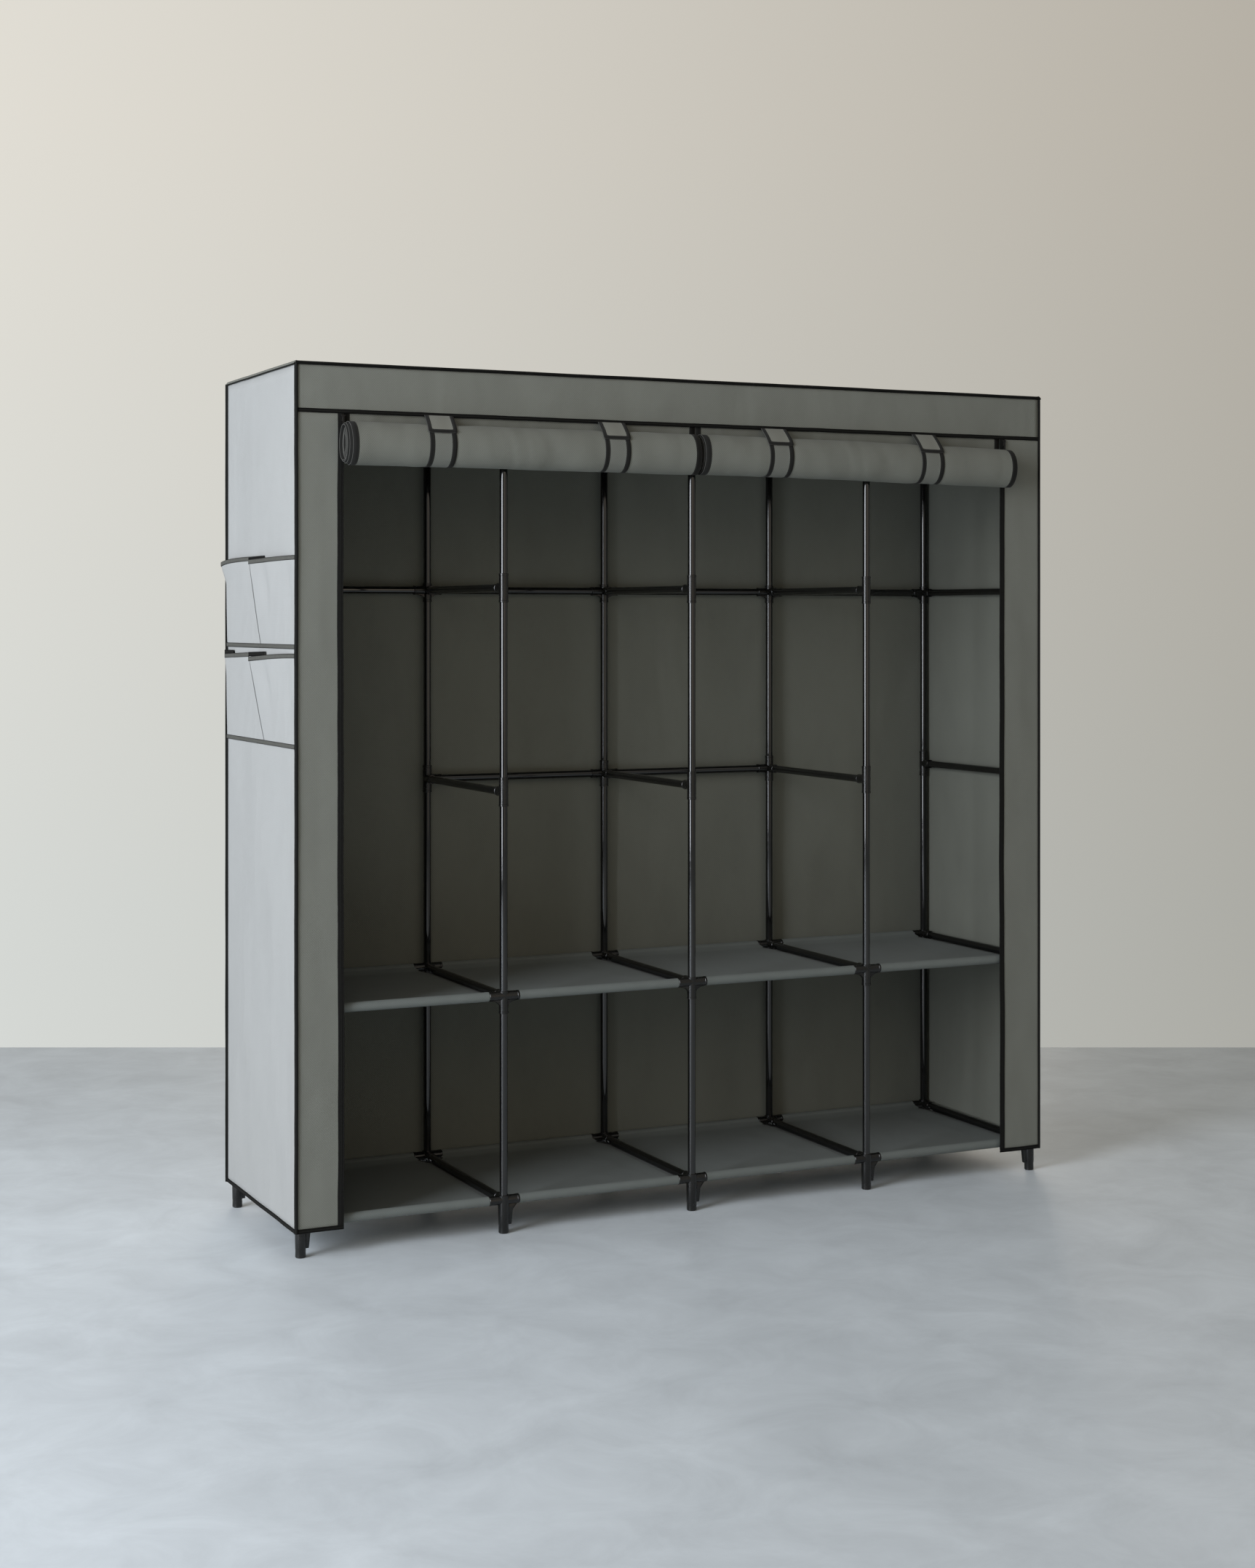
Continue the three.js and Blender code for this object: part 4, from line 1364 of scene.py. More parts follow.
@dataclass(frozen=True)
class Bindings:
    """Tape folded over the cover's seams and edges, and the zips' tapes on the strips.

    Attributes:
        panels: the cover that it is sewn to.
        bead: width across and thickness out of the tape on corner seams.
        ridge: the same at the back corners, where the tape stands up on its seam.
        hem: width and thickness of the tape on hems.
        zip_width: width of the zip's tape.
        corner_shift: how far the front corner tapes lie inward along X, and the back ones outward.
    """

    panels: CoverPanels
    bead: Pair = (7.6 * MM, 4.6 * MM)
    ridge: Pair = (4.4 * MM, 9.0 * MM)
    hem: Pair = (8.5 * MM, 2.6 * MM)
    zip_width: float = 12.5 * MM
    corner_shift: Pair = (1.2 * MM, 0.8 * MM)

    def tape(self, name: str, start: tuple, end: tuple, across: tuple, out: tuple, size: Pair,
             node: str, finish: Finish = EDGE_TAPE, wander: Callable[[Array], Array] | None = None) -> None:
        """One straight run of tape: a rounded section carried from start to end with a slight waver.

        Args:
            name: the piece's name.
            start, end: the ends of its middle line.
            across: direction of its width.
            out: direction of its thickness.
            size: width and thickness.
            node: the solid whose cloth it binds.
            finish: what it is made of.
            wander: sideways X drift at each height, for tape on a strip's free edge.
        """
        length = float(np.linalg.norm(np.subtract(end, start)))
        share = np.linspace(0.0, 1.0, max(8, int(length / (18 * MM))))[:, None]
        path = np.array(start) + share * np.subtract(end, start)
        waver = Ripples(0.25 * MM, 0.21, len(name)).at(share * length, 0 * share)
        path = path + waver * np.array(across)
        if wander is not None:
            path[:, 0] += wander(path[:, 2])
        made = object_of(name, [carried(path, across, out, rounded(*size))], finish, closed=True)
        finish_piece(made, node)

    def build(self) -> None:
        """Corner seams, roof edges, hems, the header's seam and the zips."""
        place = self.panels.layout
        left, right, front, back = place.left, place.right, place.front, place.back
        low, top = place.bottom, place.top
        for name, x, y in (("front_left", left, front), ("front_right", right, front),
                           ("back_left", left, back), ("back_right", right, back)):
            sx, sy = math.copysign(1, x), -1 if y == front else 1
            side = "left" if x == left else "right"
            out = np.array([sx, sy, 0.0]) / np.sqrt(2)
            size = self.bead if y == front else self.ridge
            inward, outward = self.corner_shift
            x, y = (x - sx * inward, y) if y == front else (x + out[0] * outward, y + out[1] * outward)
            self.tape(f"corner_tape_{name}", (x, y, low), (x, y, top - 1 * MM), (sx, -sy, 0.0) / np.sqrt(2),
                      out, size, f"cover_{side}_side")
        # The roof's left and right tapes are drawn in the pale roof tape: painted highlight and painted shade.
        for name, start, end, out, finish in (
                ("front", (left, front, top), (right, front, top), (0, -1, 1), EDGE_TAPE),
                ("back", (left, back, top), (right, back, top), (0, 1, 1), EDGE_TAPE),
                ("left", (left, front, top), (left, back, top), (-1, 0, 1), ROOF_TAPE_PAINTED_LIGHT_AND_SHADE),
                ("right", (right, front, top), (right, back, top), (1, 0, 1), ROOF_TAPE_PAINTED_LIGHT_AND_SHADE)):
            out = np.array(out) / np.sqrt(2)
            across = out * [1, 1, -1]
            size = (9.4 * MM, 4.6 * MM) if finish is ROOF_TAPE_PAINTED_LIGHT_AND_SHADE else self.bead
            self.tape(f"roof_tape_{name}", start, end, across, out, size, "cover_roof", finish)
        middle = low + self.hem[0] / 2 - 0.5 * MM
        opening_left, opening_right = place.opening
        for name, start, end, out, node in (
                ("left", (left, front), (left, back), (-1.0, 0.0, 0.0), "cover_left_side"),
                ("right", (right, front), (right, back), RIGHT, "cover_right_side"),
                ("back", (left, back), (right, back), (0.0, 1.0, 0.0), "cover_back"),
                ("left_strip", (left, front), (opening_left, front), FORWARD, "cover_front"),
                ("right_strip", (opening_right, front), (right, front), FORWARD, "cover_front")):
            self.tape(f"hem_tape_{name}", (*start, middle), (*end, middle), UP, out, self.hem, node)
        seam_y = front - 0.3 * MM
        self.tape("header_seam_tape", (left, seam_y, place.header), (right, seam_y, place.header),
                  UP, FORWARD, (8 * MM, 2.2 * MM), "cover_front")
        for name, x, inside, seed in (("left", opening_left, -1, 1), ("right", opening_right, 1, 2)):
            tape_x = x + inside * (self.zip_width / 2 - 1 * MM)
            coil_x = Layout.middle(f"zip_slider_{name}")[0]
            for kind, x, y, size in (("tape", tape_x, front - 0.1 * MM, (self.zip_width, 1.3 * MM)),
                                     ("coil", coil_x, front + 0.3 * MM, (3 * MM, 2.2 * MM))):
                self.tape(f"zip_{kind}_{name}", (x, y, low), (x, y, place.header), RIGHT, FORWARD,
                          size, "cover_front", ZIP_TAPE, lambda z, seed=seed: self.panels.wander(z, seed))


@dataclass(frozen=True)
class RolledDoor:
    """One door, rolled up under the header. Its cloth is a spiral whose two half axes shrink as it turns.

    Attributes:
        layout: the frame's places.
        side: "left" or "right".
        flat: X of the door's sides where it is sewn to the header.
        outer: X of the ends of the outer turn.
        slide: how far the second turn has slipped to the left.
        straps: X of the straps round it.
        depth_radius, height_radius: half axes of the outer turn.
        pitch: how much the half axes shrink with each turn.
        turns: number of turns.
        drop: from the header's seam down to the roll's axis.
        tail: how far the cloth runs up behind the header.
        recess: how far the core is drawn back to the right.
        cloth: thickness of the cloth.
        dip: how much lower the roll hangs at its right end.
    """

    layout: Layout
    side: str
    flat: Pair
    outer: Pair
    slide: float
    straps: tuple[float, ...]
    depth_radius: float = 33.5 * MM
    height_radius: float = 42.5 * MM
    pitch: float = 2.9 * MM
    turns: float = 9.2
    drop: float = 62 * MM
    tail: float = 12 * MM
    recess: float = 8 * MM
    cloth: float = 0.9 * MM
    dip: float = 0.0

    @property
    def centre(self) -> Pair:
        """Y and Z of the roll's axis."""
        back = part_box(f"rolled_door_{self.side}")[1][1] - 1.2 * MM
        return back - self.depth_radius, self.layout.header - self.drop

    def surface(self, x: Array, angle: Array, offset: float) -> tuple[Array, Array]:
        """Y and Z on the roll, offset outward from its cloth.

        With the half axes a and b less the pitch for each turn, y is a cos(angle) and z is -b sin(angle)
        about the axis. Both axes swell and shrink with slow waves, and shrink under the straps.

        Args:
            x: places along the roll.
            angle: radians from the back, down and round, of the same shape.
            offset: metres outward.

        Returns:
            Y and Z, of the same shape.
        """
        centre_y, centre_z = self.centre
        pinch = sum(np.exp(-((x - strap) / (34 * MM)) ** 4) for strap in self.straps)
        folds = sum(np.exp(-((x - strap) / (85 * MM)) ** 2) * np.sin((x - strap) / (19 * MM) + 2 * angle)
                    for strap in self.straps)
        waves = np.sin(x / 0.105 + 2 * angle) + 0.6 * np.sin(x / 0.043 - 3 * angle + 1) + \
            0.4 * np.sin(x / 0.027 + angle + 2)
        swell = offset - self.pitch * angle / (2 * math.pi) - 1.3 * MM * pinch \
            + 0.45 * MM * waves * (1 - pinch)
        swell = swell + 0.55 * MM * folds * (1 - pinch)
        y = (self.depth_radius + swell) * np.cos(angle)
        share = (x - self.outer[0]) / (self.outer[1] - self.outer[0])
        z = centre_z - self.dip * smooth(share, 0.1, 1.3) * 1.3 - (self.height_radius + swell) * np.sin(angle)
        beside = smooth(-x, -self.layout.opening[0] - 14 * MM, -self.layout.opening[0] + 1 * MM)
        room = centre_y - (self.layout.front - 2.4 * MM)
        y = np.where(y > 0, y * (1 - beside * (1 + room / self.depth_radius)), y)
        return centre_y + y, z

    def patch(self) -> Patch:
        """The door's cloth, from the seam behind the header down and round the roll to its hem.

        After t turns it has slipped by 3 (1 - exp(-t / 2.2)) slides, and from the fourth turn on it is drawn
        back into the roll by the recess.

        Returns:
            The patch, whose edge is the distance to the bound sides.
        """
        steps = int(self.turns * 34)
        turned = np.linspace(0.0, 2 * math.pi * self.turns, steps)[:, None]
        u = np.linspace(0.0, 1.0, 73)[None, :]
        turn = turned / (2 * math.pi)
        slipped = self.slide * 3 * (1 - np.exp(-turn / 2.2)) - self.recess * smooth(turn, 3.1, 3.6)
        begun = smooth(turned, 0.0, 0.9)
        low = self.flat[0] + (self.outer[0] - self.flat[0]) * begun - slipped
        high = self.flat[1] + (self.outer[1] - self.flat[1]) * begun - slipped
        x = low + (high - low) * u
        y, z = self.surface(x, turned + 0 * x, 0.0)
        rise = np.linspace(1.0, 0.0, 9)[:-1, None]
        tail_x = self.flat[0] + (self.flat[1] - self.flat[0]) * u + 0 * rise
        tail_z = z[0][None] + rise * (self.layout.header + self.tail - z[0][None])
        tail_y = y[0][None] + (self.seam_y() - y[0][None]) * smooth(rise, 0.1, 0.8)
        points = np.stack([np.concatenate([tail_x, x]), np.concatenate([tail_y, y]),
                           np.concatenate([tail_z, z])], axis=2)
        run = np.linalg.norm(np.diff(points[:, u.shape[1] // 2], axis=0), axis=1).cumsum()
        run = np.concatenate([[0.0], run])[:, None]
        across = u * (self.flat[1] - self.flat[0]) + 0 * run
        edge = np.minimum(across, self.flat[1] - self.flat[0] - across)
        return patch(points, np.stack([across, run + 0 * across], axis=2), edge)

    def seam_y(self) -> float:
        """Y of the door's cloth where it is sewn behind the header."""
        return self.layout.front + 3.3 * MM

    def build(self) -> None:
        """The rolled cloth."""
        roll = object_of(f"{self.side}_door_roll", [self.patch()], DOOR_CLOTH, wall=self.cloth)
        node = f"rolled_door_{self.side}"
        finish_piece(roll, node)


@dataclass(frozen=True)
class Strap:
    """A strap: a band round the roll, and a tab that closes over it and turns on the header's seam.

    Attributes:
        door: the roll it holds.
        number: 1 to 4 from the left.
        x: X of the band's middle.
        slant: how far the tab's lower and upper end lie to the right of the band's middle.
        band_width, tab_width: their widths.
        band_end, tab_end: degrees round the roll, from its back, at which they end.
        tab_bow: how far the tab's path bows out in front of the hinge.
        band_offset, tab_offset: how far they lie outside the roll's cloth.
    """

    door: RolledDoor
    number: int
    x: float
    slant: Pair
    band_width: float = 56 * MM
    tab_width: float = 60 * MM
    band_end: float = 215.0
    tab_end: float = 213.5
    tab_bow: float = 7 * MM
    band_offset: float = 1.1 * MM
    tab_offset: float = 2.6 * MM

    def ribbon(self, width: float, path: Callable[[Array], tuple[Array, Array]], border_end: bool,
               slant: Pair = (0.0, 0.0), columns: int = 14) -> Patch:
        """A ribbon of cloth whose rows follow a path of Y and Z worked out at each X.

        Args:
            width: the ribbon's width.
            path: gives rows x columns of Y and Z for a row of X places.
            border_end: True if the last row is a bound edge too.
            slant: how far the last and the first row lie to the right of the strap's middle.
            columns: steps across.

        Returns:
            The patch, whose edge is the distance to the bound sides.
        """
        x = np.linspace(self.x - width / 2, self.x + width / 2, columns + 1)[None, :]
        y, z = path(x)
        x = x + 0 * y
        run = np.concatenate([np.zeros((1, columns + 1)),
                              np.hypot(np.diff(y, axis=0), np.diff(z, axis=0)).cumsum(axis=0)])
        edge = width / 2 - np.abs(x - self.x)
        if border_end:
            edge = np.minimum(edge, run[-1:] - run)
        lean = slant[1] + (slant[0] - slant[1]) * run / run[-1:]
        return patch(np.stack([x + lean, y, z], axis=2), np.stack([x - self.x, run], axis=2), edge)

    def band_path(self, x: Array) -> tuple[Array, Array]:
        """Down behind the roll and round it to the band's end.

        Args:
            x: a row of X places.

        Returns:
            Y and Z, rows x columns.
        """
        angle = np.radians(np.linspace(0.0, self.band_end, 44))[:, None] + 0 * x
        y, z = self.door.surface(x + 0 * angle, angle, self.band_offset)
        rise = np.linspace(1.0, 0.0, 7)[:-1, None]
        z_tail = z[:1] + rise * (self.door.layout.header + 6 * MM - z[:1])
        y_tail = y[:1] + (self.door.seam_y() + 1.2 * MM - y[:1]) * smooth(rise, 0.1, 0.8)
        return np.concatenate([y_tail, y]), np.concatenate([z_tail, z])

    def tab_path(self, x: Array) -> tuple[Array, Array]:
        """From the hinge to the roll's front in one shallow bow, which clears the header when it swings up.

        With s from 0 to 1 it is (1-s)³ A + 3 (1-s)² s B + 3 (1-s) s² C + s³ D, where A is just under the
        hinge, B stands a bow's length in front of it, D is the end on the roll, and C stands above D.

        Args:
            x: a row of X places.

        Returns:
            Y and Z, rows x columns.
        """
        end_y, end_z = self.door.surface(x, np.radians(self.tab_end) + 0 * x, self.tab_offset)
        hinge = next(joint for joint in frame["joints"] if joint["name"] == f"strap_{self.number}_hinge")
        _, hinge_y, hinge_z = hinge["pos_m"]
        s = np.linspace(0.0, 1.0, 24)[:, None]
        weights = (1 - s) ** 3, 3 * (1 - s) ** 2 * s, 3 * (1 - s) * s ** 2, s ** 3
        y_points = hinge_y, hinge_y - self.tab_bow, end_y - 0.5 * MM, end_y
        z_points = hinge_z - 1.5 * MM, hinge_z - 5 * MM, end_z + self.tab_bow * 1.2, end_z
        y, z = (sum(w * v for w, v in zip(weights, points)) for points in (y_points, z_points))
        return y, z

    def build(self) -> None:
        """The band on the roll and the tab on its own body."""
        node = f"rolled_door_{self.door.side}"
        band = object_of(f"strap_band_{self.number}", [self.ribbon(self.band_width, self.band_path, False)],
                         BAND_CLOTH, wall=0.9 * MM)
        finish_piece(band, node)
        tab = object_of(f"strap_flap_{self.number}",
                        [self.ribbon(self.tab_width, self.tab_path, True, self.slant)], TAB_CLOTH,
                        wall=1.1 * MM)
        finish_piece(tab, f"strap_tab_{self.number}", f"strap_{self.number}")


@dataclass(frozen=True)
class ZipSlider:
    """A zip's slider: a waisted body round the coil, a bridge on it, and a pull that hangs from the bridge.

    Attributes:
        side: "left" or "right".
        height: height of the body.
        body, bridge, blade: width and thickness of the body, the bridge and the pull.
    """

    side: str
    height: float = 12 * MM
    body: Pair = (9 * MM, 2.4 * MM)
    bridge: Pair = (2.6 * MM, 0.9 * MM)
    blade: Pair = (5 * MM, 1.3 * MM)

    def build(self) -> None:
        """Body, bridge and pull as closed shells in the solid's box."""
        low, high = (np.array(corner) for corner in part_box(f"zip_slider_{self.side}"))
        x = (low[0] + high[0]) / 2
        station = np.linspace(0.0, 1.0, 13)
        waist = 1 - 0.28 * np.sin(math.pi * station) ** 2 - 0.25 * (1 - station) ** 2
        path = np.stack([np.full(13, x), np.full(13, high[1] - 1.25 * MM),
                         high[2] - self.height + station * self.height], axis=1)
        section = rounded(*self.body)[None] * np.stack([waist, np.ones(13)], axis=1)[:, None]
        body = carried(path, RIGHT, FORWARD, section)
        arch = np.radians(np.linspace(0, 180, 13))
        bridge_path = np.stack([np.full(13, x), high[1] - 2.2 * MM - 1.25 * MM * np.sin(arch),
                                high[2] - 6 * MM + 3.6 * MM * np.cos(arch)], axis=1)
        normal = np.stack([np.zeros(13), -np.sin(arch), np.cos(arch)], axis=1)
        bridge = carried(bridge_path, RIGHT, normal, rounded(*self.bridge))
        run = np.linspace(0.0, 1.0, 15)
        width = 0.55 + 0.45 * smooth(run, 0.0, 0.5)
        width[-1] *= 0.8
        pull_path = np.stack([np.full(15, x), np.full(15, low[1] + 0.75 * MM),
                              high[2] - 5 * MM + run * (low[2] - high[2] + 5 * MM)], axis=1)
        blade = rounded(*self.blade)[None] * np.stack([width, np.ones(15)], axis=1)[:, None]
        pull = carried(pull_path, RIGHT, FORWARD, blade)
        made = object_of(f"slider_{self.side}_casting", [body, bridge, pull], ZINC, closed=True)
        finish_piece(made, f"zip_slider_{self.side}", f"slider_{self.side}")


@dataclass(frozen=True)
class PocketRow:
    """Two side pockets from one strip of cloth, sewn at its foot.

    The strip has a pleat at the row's middle and one at its back edge. At each of them it turns forward
    under itself, so that the pocket can open, and the tape on its mouth goes round with it.

    Attributes:
        layout: the frame's places.
        node: the row's solid.
        name: first word of the pieces' names.
        fold: how far the front pocket stands off at its pleat.
        lap: how far the strip runs forward under the pleat, at the mouth.
        back_lap: the same under the back pleat.
        rear: how far the rear pocket stands off at the back edge.
        lean: how much further forward the pleat lies at the foot than at the mouth.
        front_rise: how far above the solid's top the mouth lies at the front edge and at the pleat.
        turned_rise: the same for the strip's turned run, at the pleat and where it meets the end panel.
        rear_rise: the same for the rear pocket, at its start and at the back edge.
        back_rise: the same for the last run.
        rear_bend: power of the rear mouth's curve; over 1 it drops late.
        seam: share of the height that the foot's tape presses flat.
        cloth: thickness of the cloth.
        binding: width of the tapes.
        NO_FOLD_SHADE: the edge attribute far from any painted fold shade, in metres.
    """

    layout: Layout
    node: str
    name: str
    fold: float = 21 * MM
    lap: float = 40 * MM
    back_lap: float = 30 * MM
    rear: float = 10 * MM
    lean: float = 12 * MM
    front_rise: Pair = (3.5 * MM, -0.5 * MM)
    turned_rise: Pair = (3.9 * MM, 6.8 * MM)
    rear_rise: Pair = (7.0 * MM, -0.5 * MM)
    back_rise: float = -1 * MM
    rear_bend: float = 5.0
    seam: float = 0.028
    cloth: float = 0.8 * MM
    binding: float = 9.0 * MM
    NO_FOLD_SHADE: ClassVar[float] = 0.2

    def plan(self, share: Array) -> list[tuple[Array, Array, Array, Array]]:
        """Where the strip's four runs lie in plan at shares of its height.

        The front run stands off by t^1.2 of the fold's reach up to the pleat. The next turns back forward
        under it, the rear run goes on to the back edge, and the last turns forward under that one. All of
        it shrinks to nothing at the foot's tape.

        Args:
            share: rows x 1 array from 0 at the foot to 1 at the mouth.

        Returns:
            For each run Y, stand-off, rise and distance to the pleat's edge, where the painted fold shade lies,
            rows x columns.
        """
        front, back = self.layout.front + 1.5 * MM, self.layout.back - 1.0 * MM
        pleat = (front + back) / 2 + 5 * MM - self.lean * (1 - share)
        growth = np.clip((share - self.seam) / (1 - self.seam), 0.0, 1.0) ** 0.9
        step = np.linspace(0.0, 1.0, 48)[None, :]
        wave = 1 + 0.16 * np.sin(5.0 * step) * (1 - step)
        out_y = front + (pleat - front) * step
        dent = np.exp(-((out_y - pleat + 66 * MM) / (20 * MM)) ** 2 - ((share - 0.66) / 0.24) ** 2)
        out_d = self.fold * growth * step ** 1.2 * wave - 5.5 * MM * dent
        # Distance to the pleat's edge for the painted fold shade; near the mouth it grows, so that the painted
        # shade fades there.
        shade_fade = 3 * MM * smooth(share, 0.62, 1.0)
        turn = np.linspace(0.0, 1.0, 14)[None, :]
        under = 1.3 * MM * growth
        turn_y = pleat - self.lap * growth * turn ** 1.15
        turn_d = out_d[:, -1:] + (under - out_d[:, -1:]) * turn ** 0.85
        start = pleat - self.lap * growth
        rest = np.linspace(0.0, 1.0, 46)[None, :]
        rest_y = start + (back - start) * rest
        lift = smooth(share, 0.72, 1.0) * smooth(rest, 0.35, 1.0) * self.rear
        rest_d = under + growth * 1.8 * MM * np.sin(math.pi * rest) \
            + growth * 1.6 * MM * smooth(rest, 0.6, 1) + lift
        last_y = back - self.back_lap * growth * turn ** 1.15
        last_d = rest_d[:, -1:] + (under - rest_d[:, -1:]) * turn ** 0.85
        rises = [first + (last - first) * way ** bend + 0 * share for (first, last), way, bend in (
            (self.front_rise, step, 1.8), (self.turned_rise, turn, 1.0),
            (self.rear_rise, rest, self.rear_bend))]
        return [(out_y, out_d, rises[0], pleat - out_y + shade_fade),
                (turn_y, turn_d, rises[1], self.NO_FOLD_SHADE + 0 * turn_y),
                (rest_y, rest_d, rises[2], self.NO_FOLD_SHADE + 0 * rest_y),
                (last_y, last_d, self.back_rise + 0 * last_y, self.NO_FOLD_SHADE + 0 * last_y)]

    def places(self, share: Array) -> list[tuple[Array, Array]]:
        """Where the four runs lie at shares of their height.

        Args:
            share: rows x 1 array from 0 at the foot to 1 at the mouth.

        Returns:
            For each run its places, rows x columns x 3, and their distance to the pleat.
        """
        low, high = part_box(self.node)
        made = []
        for y, stand_off, rise, away in self.plan(share):
            z = low[2] + share * (high[2] - low[2] + rise * share)
            made.append((np.stack([self.layout.left - 0.9 * MM - stand_off, y, z], axis=2), away))
        return made

    def tape(self, name: str, path: Array, out: Array, finish: Finish, thickness: float) -> bpy.types.Object:
        """A run of binding along a path.

        Args:
            name: the piece's name.
            path: n x 3 array of places.
            out: direction of its thickness, once or at each place.
            finish: what it is made of.
            thickness: its thickness.

        Returns:
            The finished piece.
        """
        section = rounded(self.binding, thickness)
        made = object_of(name, [carried(path, UP, out, section)], finish, closed=True)
        return finish_piece(made, self.node)

    def build(self) -> None:
        """The strip of cloth with the tape on its mouth, run by run, and on its foot."""
        runs = [patch(points, None, away) for points, away in self.places(np.linspace(0.0, 1.0, 33)[:, None])]
        strip = object_of(f"{self.name}_pocket_cloth", runs, POCKET_CLOTH_PAINTED_LIGHT_AND_SHADE, wall=self.cloth)
        finish_piece(strip, self.node)
        # The turned runs are the pocket's grey tape in deep shade between the layers; they are drawn in the
        # black edge tape as painted shade.
        kinds = (("front", POCKET_TAPE, 2.4 * MM), ("turned", EDGE_TAPE, 2.0 * MM),
                 ("rear", POCKET_TAPE, 2.4 * MM), ("back_turned", EDGE_TAPE, 2.0 * MM))
        for (name, finish, thickness), (points, _) in zip(kinds, self.places(np.ones((1, 1)))):
            mouth = points[0].copy()
            mouth[:, 2] -= self.binding / 2 - 0.8 * MM
            out = np.cross(np.gradient(mouth, axis=0), UP)
            out /= np.linalg.norm(out, axis=1)[:, None]
            self.tape(f"{self.name}_pocket_{name}_tape", mouth, out, finish, thickness).name
        x = self.layout.left - 0.9 * MM
        foot_y = np.linspace(self.layout.front + 1.5 * MM, self.layout.back - 1.0 * MM, 24)
        foot = np.stack([np.full(24, x), foot_y, np.full(24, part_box(self.node)[0][2])], axis=1)
        outward = np.array([-1.0, 0.0, 0.0])
        self.tape(f"{self.name}_pocket_foot_tape", foot, outward, POCKET_TAPE, 3.0 * MM).name


# Studio


@dataclass(frozen=True)
class Studio:
    """Floor, backdrop, lamps and camera.

    Attributes:
        stand: the camera's place.
        turn: how far it is turned to the right, in degrees.
        lens: focal length for a 36 mm sensor.
        lift: vertical shift as a share of the picture's height.
        room: from the camera to the floor's far edge.
    """

    stand: tuple[float, float, float] = (-2.2062, -4.5315, 1.2223)
    turn: float = 25.469
    lens: float = 54.17
    lift: float = -0.1053
    room: float = 6.73

    @property
    def forward(self) -> Array:
        """The camera's level line of sight."""
        return np.array([math.sin(math.radians(self.turn)), math.cos(math.radians(self.turn)), 0.0])

    @property
    def rightward(self) -> Array:
        """The picture's right."""
        return np.array([self.forward[1], -self.forward[0], 0.0])

    def camera(self) -> None:
        """A level camera at eye height, shifted down to keep uprights upright."""
        made = bpy.data.objects.new("camera", bpy.data.cameras.new("camera"))
        made.location = self.stand
        made.rotation_euler = (math.pi / 2, 0.0, -math.radians(self.turn))
        made.data.lens = self.lens
        made.data.shift_y = self.lift
        bpy.context.scene.collection.objects.link(made)
        bpy.context.scene.camera = made

    def floor(self) -> None:
        """A rectangle square to the camera, which ends where the wall of the room would stand."""
        base = np.array([self.stand[0], self.stand[1], 0.0])
        corner = base + self.forward * self.room - self.rightward * 14
        sheet = hung(tuple(corner), tuple(-self.forward * 22), tuple(self.rightward * 28), 22, 28)
        object_of("floor", [sheet], FloatedConcrete("power_floated_concrete", "#cfd6da", 0.45))

    def lamp(self, name: str, place: tuple, aim: tuple, size: Pair, watts: float,
             colour: str = "#ffffff") -> None:
        """A soft rectangular lamp that faces a point.

        Args:
            name: its name.
            place: where it stands.
            aim: the point that it faces.
            size: its width and height.
            watts: its power.
            colour: its sRGB hex colour.
        """
        light = bpy.data.lights.new(name, "AREA")
        light.shape = "RECTANGLE"
        light.size, light.size_y = size
        light.energy = watts
        light.color = linear(colour)[:3]
        made = bpy.data.objects.new(name, light)
        made.location = place
        way = np.subtract(aim, place)
        made.rotation_euler = (math.acos(-way[2] / np.linalg.norm(way)), 0.0,
                               math.atan2(way[1], way[0]) - math.pi / 2)
        bpy.context.scene.collection.objects.link(made)

    def world(self) -> None:
        """White light from all round, seen by the camera and in gloss as a pale wall, darker to the right."""
        made = bpy.data.worlds.new("pale wall")
        made.use_nodes = True
        tree = made.node_tree
        out = tree.nodes["World Output"]
        way = add_node(tree, "TexCoord").outputs["Generated"]
        side = add_node(tree, "VectorMath", {"operation": "DOT_PRODUCT", 1: tuple(self.rightward)},
                        {0: way}).outputs["Value"]
        share = add_node(tree, "MapRange", {"From Min": -0.3, "From Max": 0.3}, {"Value": side})
        wall = add_node(tree, "Mix",
                        {"data_type": "RGBA", 6: linear("#e0dfda"), 7: linear("#aeaaa2")},
                        {0: share.outputs["Result"]}).outputs[2]
        rise = add_node(tree, "VectorMath", {"operation": "DOT_PRODUCT", 1: UP}, {0: way}).outputs["Value"]
        height = add_node(tree, "MapRange", {"From Min": -0.12, "From Max": 0.2}, {"Value": rise})
        low_tint, high_tint = (0.92, 0.96, 0.975, 1.0), (1.04, 1.015, 0.975, 1.0)
        fall = add_node(tree, "Mix", {"data_type": "RGBA", 6: low_tint, 7: high_tint},
                        {0: height.outputs["Result"]}).outputs[2]
        wall = add_node(tree, "Mix", {"data_type": "RGBA", "blend_type": "MULTIPLY", 0: 1.0},
                        {6: wall, 7: fall}).outputs[2]
        light = tree.nodes["Background"]
        light.inputs["Color"].default_value = linear("#f8f7f3")
        light.inputs["Strength"].default_value = 0.27
        seen = add_node(tree, "Background", {"Strength": 1.0}, {"Color": wall})
        path = add_node(tree, "LightPath")
        gloss = add_node(tree, "Math", {"operation": "MULTIPLY", 1: 0.4}, {0: path.outputs["Is Glossy Ray"]})
        direct = add_node(tree, "Math", {"operation": "MAXIMUM"},
                          {0: path.outputs["Is Camera Ray"], 1: gloss.outputs[0]})
        chosen = add_node(tree, "Math", {"operation": "MAXIMUM"},
                          {0: direct.outputs[0], 1: path.outputs["Is Transmission Ray"]})
        mixed = add_node(tree, "MixShader", {}, {0: chosen.outputs[0], 1: light.outputs[0], 2: seen.outputs[0]})
        tree.links.new(mixed.outputs[0], out.inputs["Surface"])
        bpy.context.scene.world = made

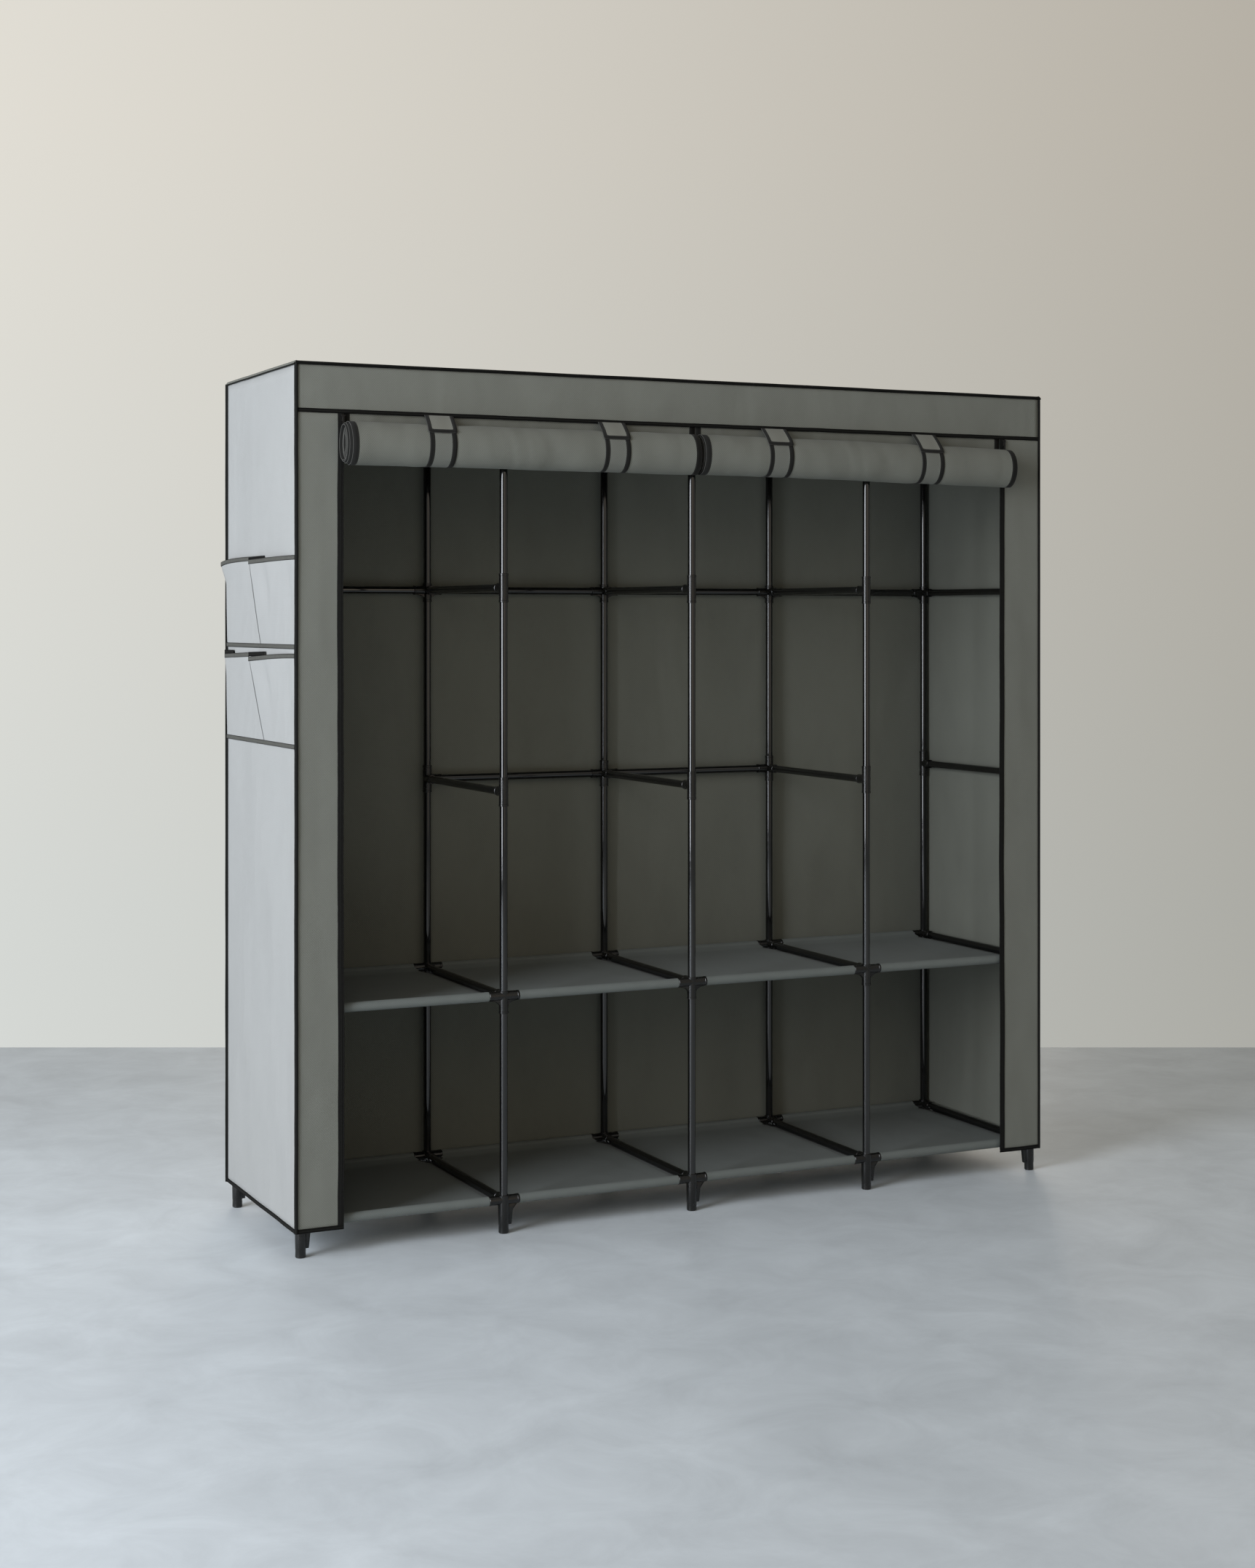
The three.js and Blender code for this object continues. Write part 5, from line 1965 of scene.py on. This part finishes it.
    def build(self) -> None:
        """Everything round the object."""
        bpy.context.scene.view_settings.view_transform = "Standard"
        self.camera()
        self.floor()
        self.world()
        self.lamp("window", (-5.2, -2.2, 2.2), UP, (1.9, 4.2), 300.0, "#f1f6ff")
        self.lamp("side window", (-5.6, 0.2, 2.2), (-0.8, 0.0, 0.6), (3.0, 3.0), 116.0, "#f1f6ff")
        self.lamp("front fill", (-3.8, -4.8, 3.2), (0.0, 0.0, 0.8), (3.0, 2.6), 34.0, "#fff0dc")
        self.lamp("right fill", (0.6, -6.0, 2.2), (0.0, 0.0, 0.9), (2.8, 4.2), 19.0, "#ffe6c6")
        self.lamp("rear fill", (2.8, 5.5, 2.0), UP, (3.0, 2.4), 80.0, "#fff6e8")


def main() -> None:
    """Builds the studio and every sub-assembly, in order."""
    logging.basicConfig(level=logging.INFO, format="%(message)s")
    layout = Layout.from_frame()
    Studio().build()
    TubeFrame(layout).build()
    Shelves(layout).build()
    panels = CoverPanels(layout)
    panels.build()
    Bindings(panels).build()
    # The photo shows each strap a little further right of its solid than the one before it.
    places = {number: Layout.middle(f"strap_tab_{number}")[0] + (4 + 2 * number) * MM for number in range(1, 5)}
    shift = (layout.left + layout.right) / 2
    doors = {
        "left": RolledDoor(layout, "left", (layout.opening[0] + 0.6 * MM, shift - 0.6 * MM),
                           (shift - 757 * MM, shift - 12 * MM), 6.5 * MM, (places[1], places[2])),
        "right": RolledDoor(layout, "right", (shift + 0.6 * MM, layout.opening[1] - 0.6 * MM),
                            (shift - 5 * MM, shift + 756 * MM), 2.7 * MM, (places[3], places[4]), dip=7 * MM),
    }
    for door in doors.values():
        door.build()
    for number, x in places.items():
        Strap(doors["left" if number < 3 else "right"], number, x, (-1 * MM, 12 * MM)).build()
    for side in ("left", "right"):
        ZipSlider(side).build()
    PocketRow(layout, "pocket_row_upper", "upper").build()
    PocketRow(layout, "pocket_row_lower", "lower", rear=2 * MM, lap=49 * MM, back_lap=54 * MM, lean=36 * MM,
              front_rise=(6 * MM, -3 * MM), turned_rise=(6.6 * MM, 8.1 * MM), rear_rise=(8 * MM, 0.5 * MM),
              back_rise=8.5 * MM, rear_bend=1.0).build()


if __name__ == "__main__":
    main()
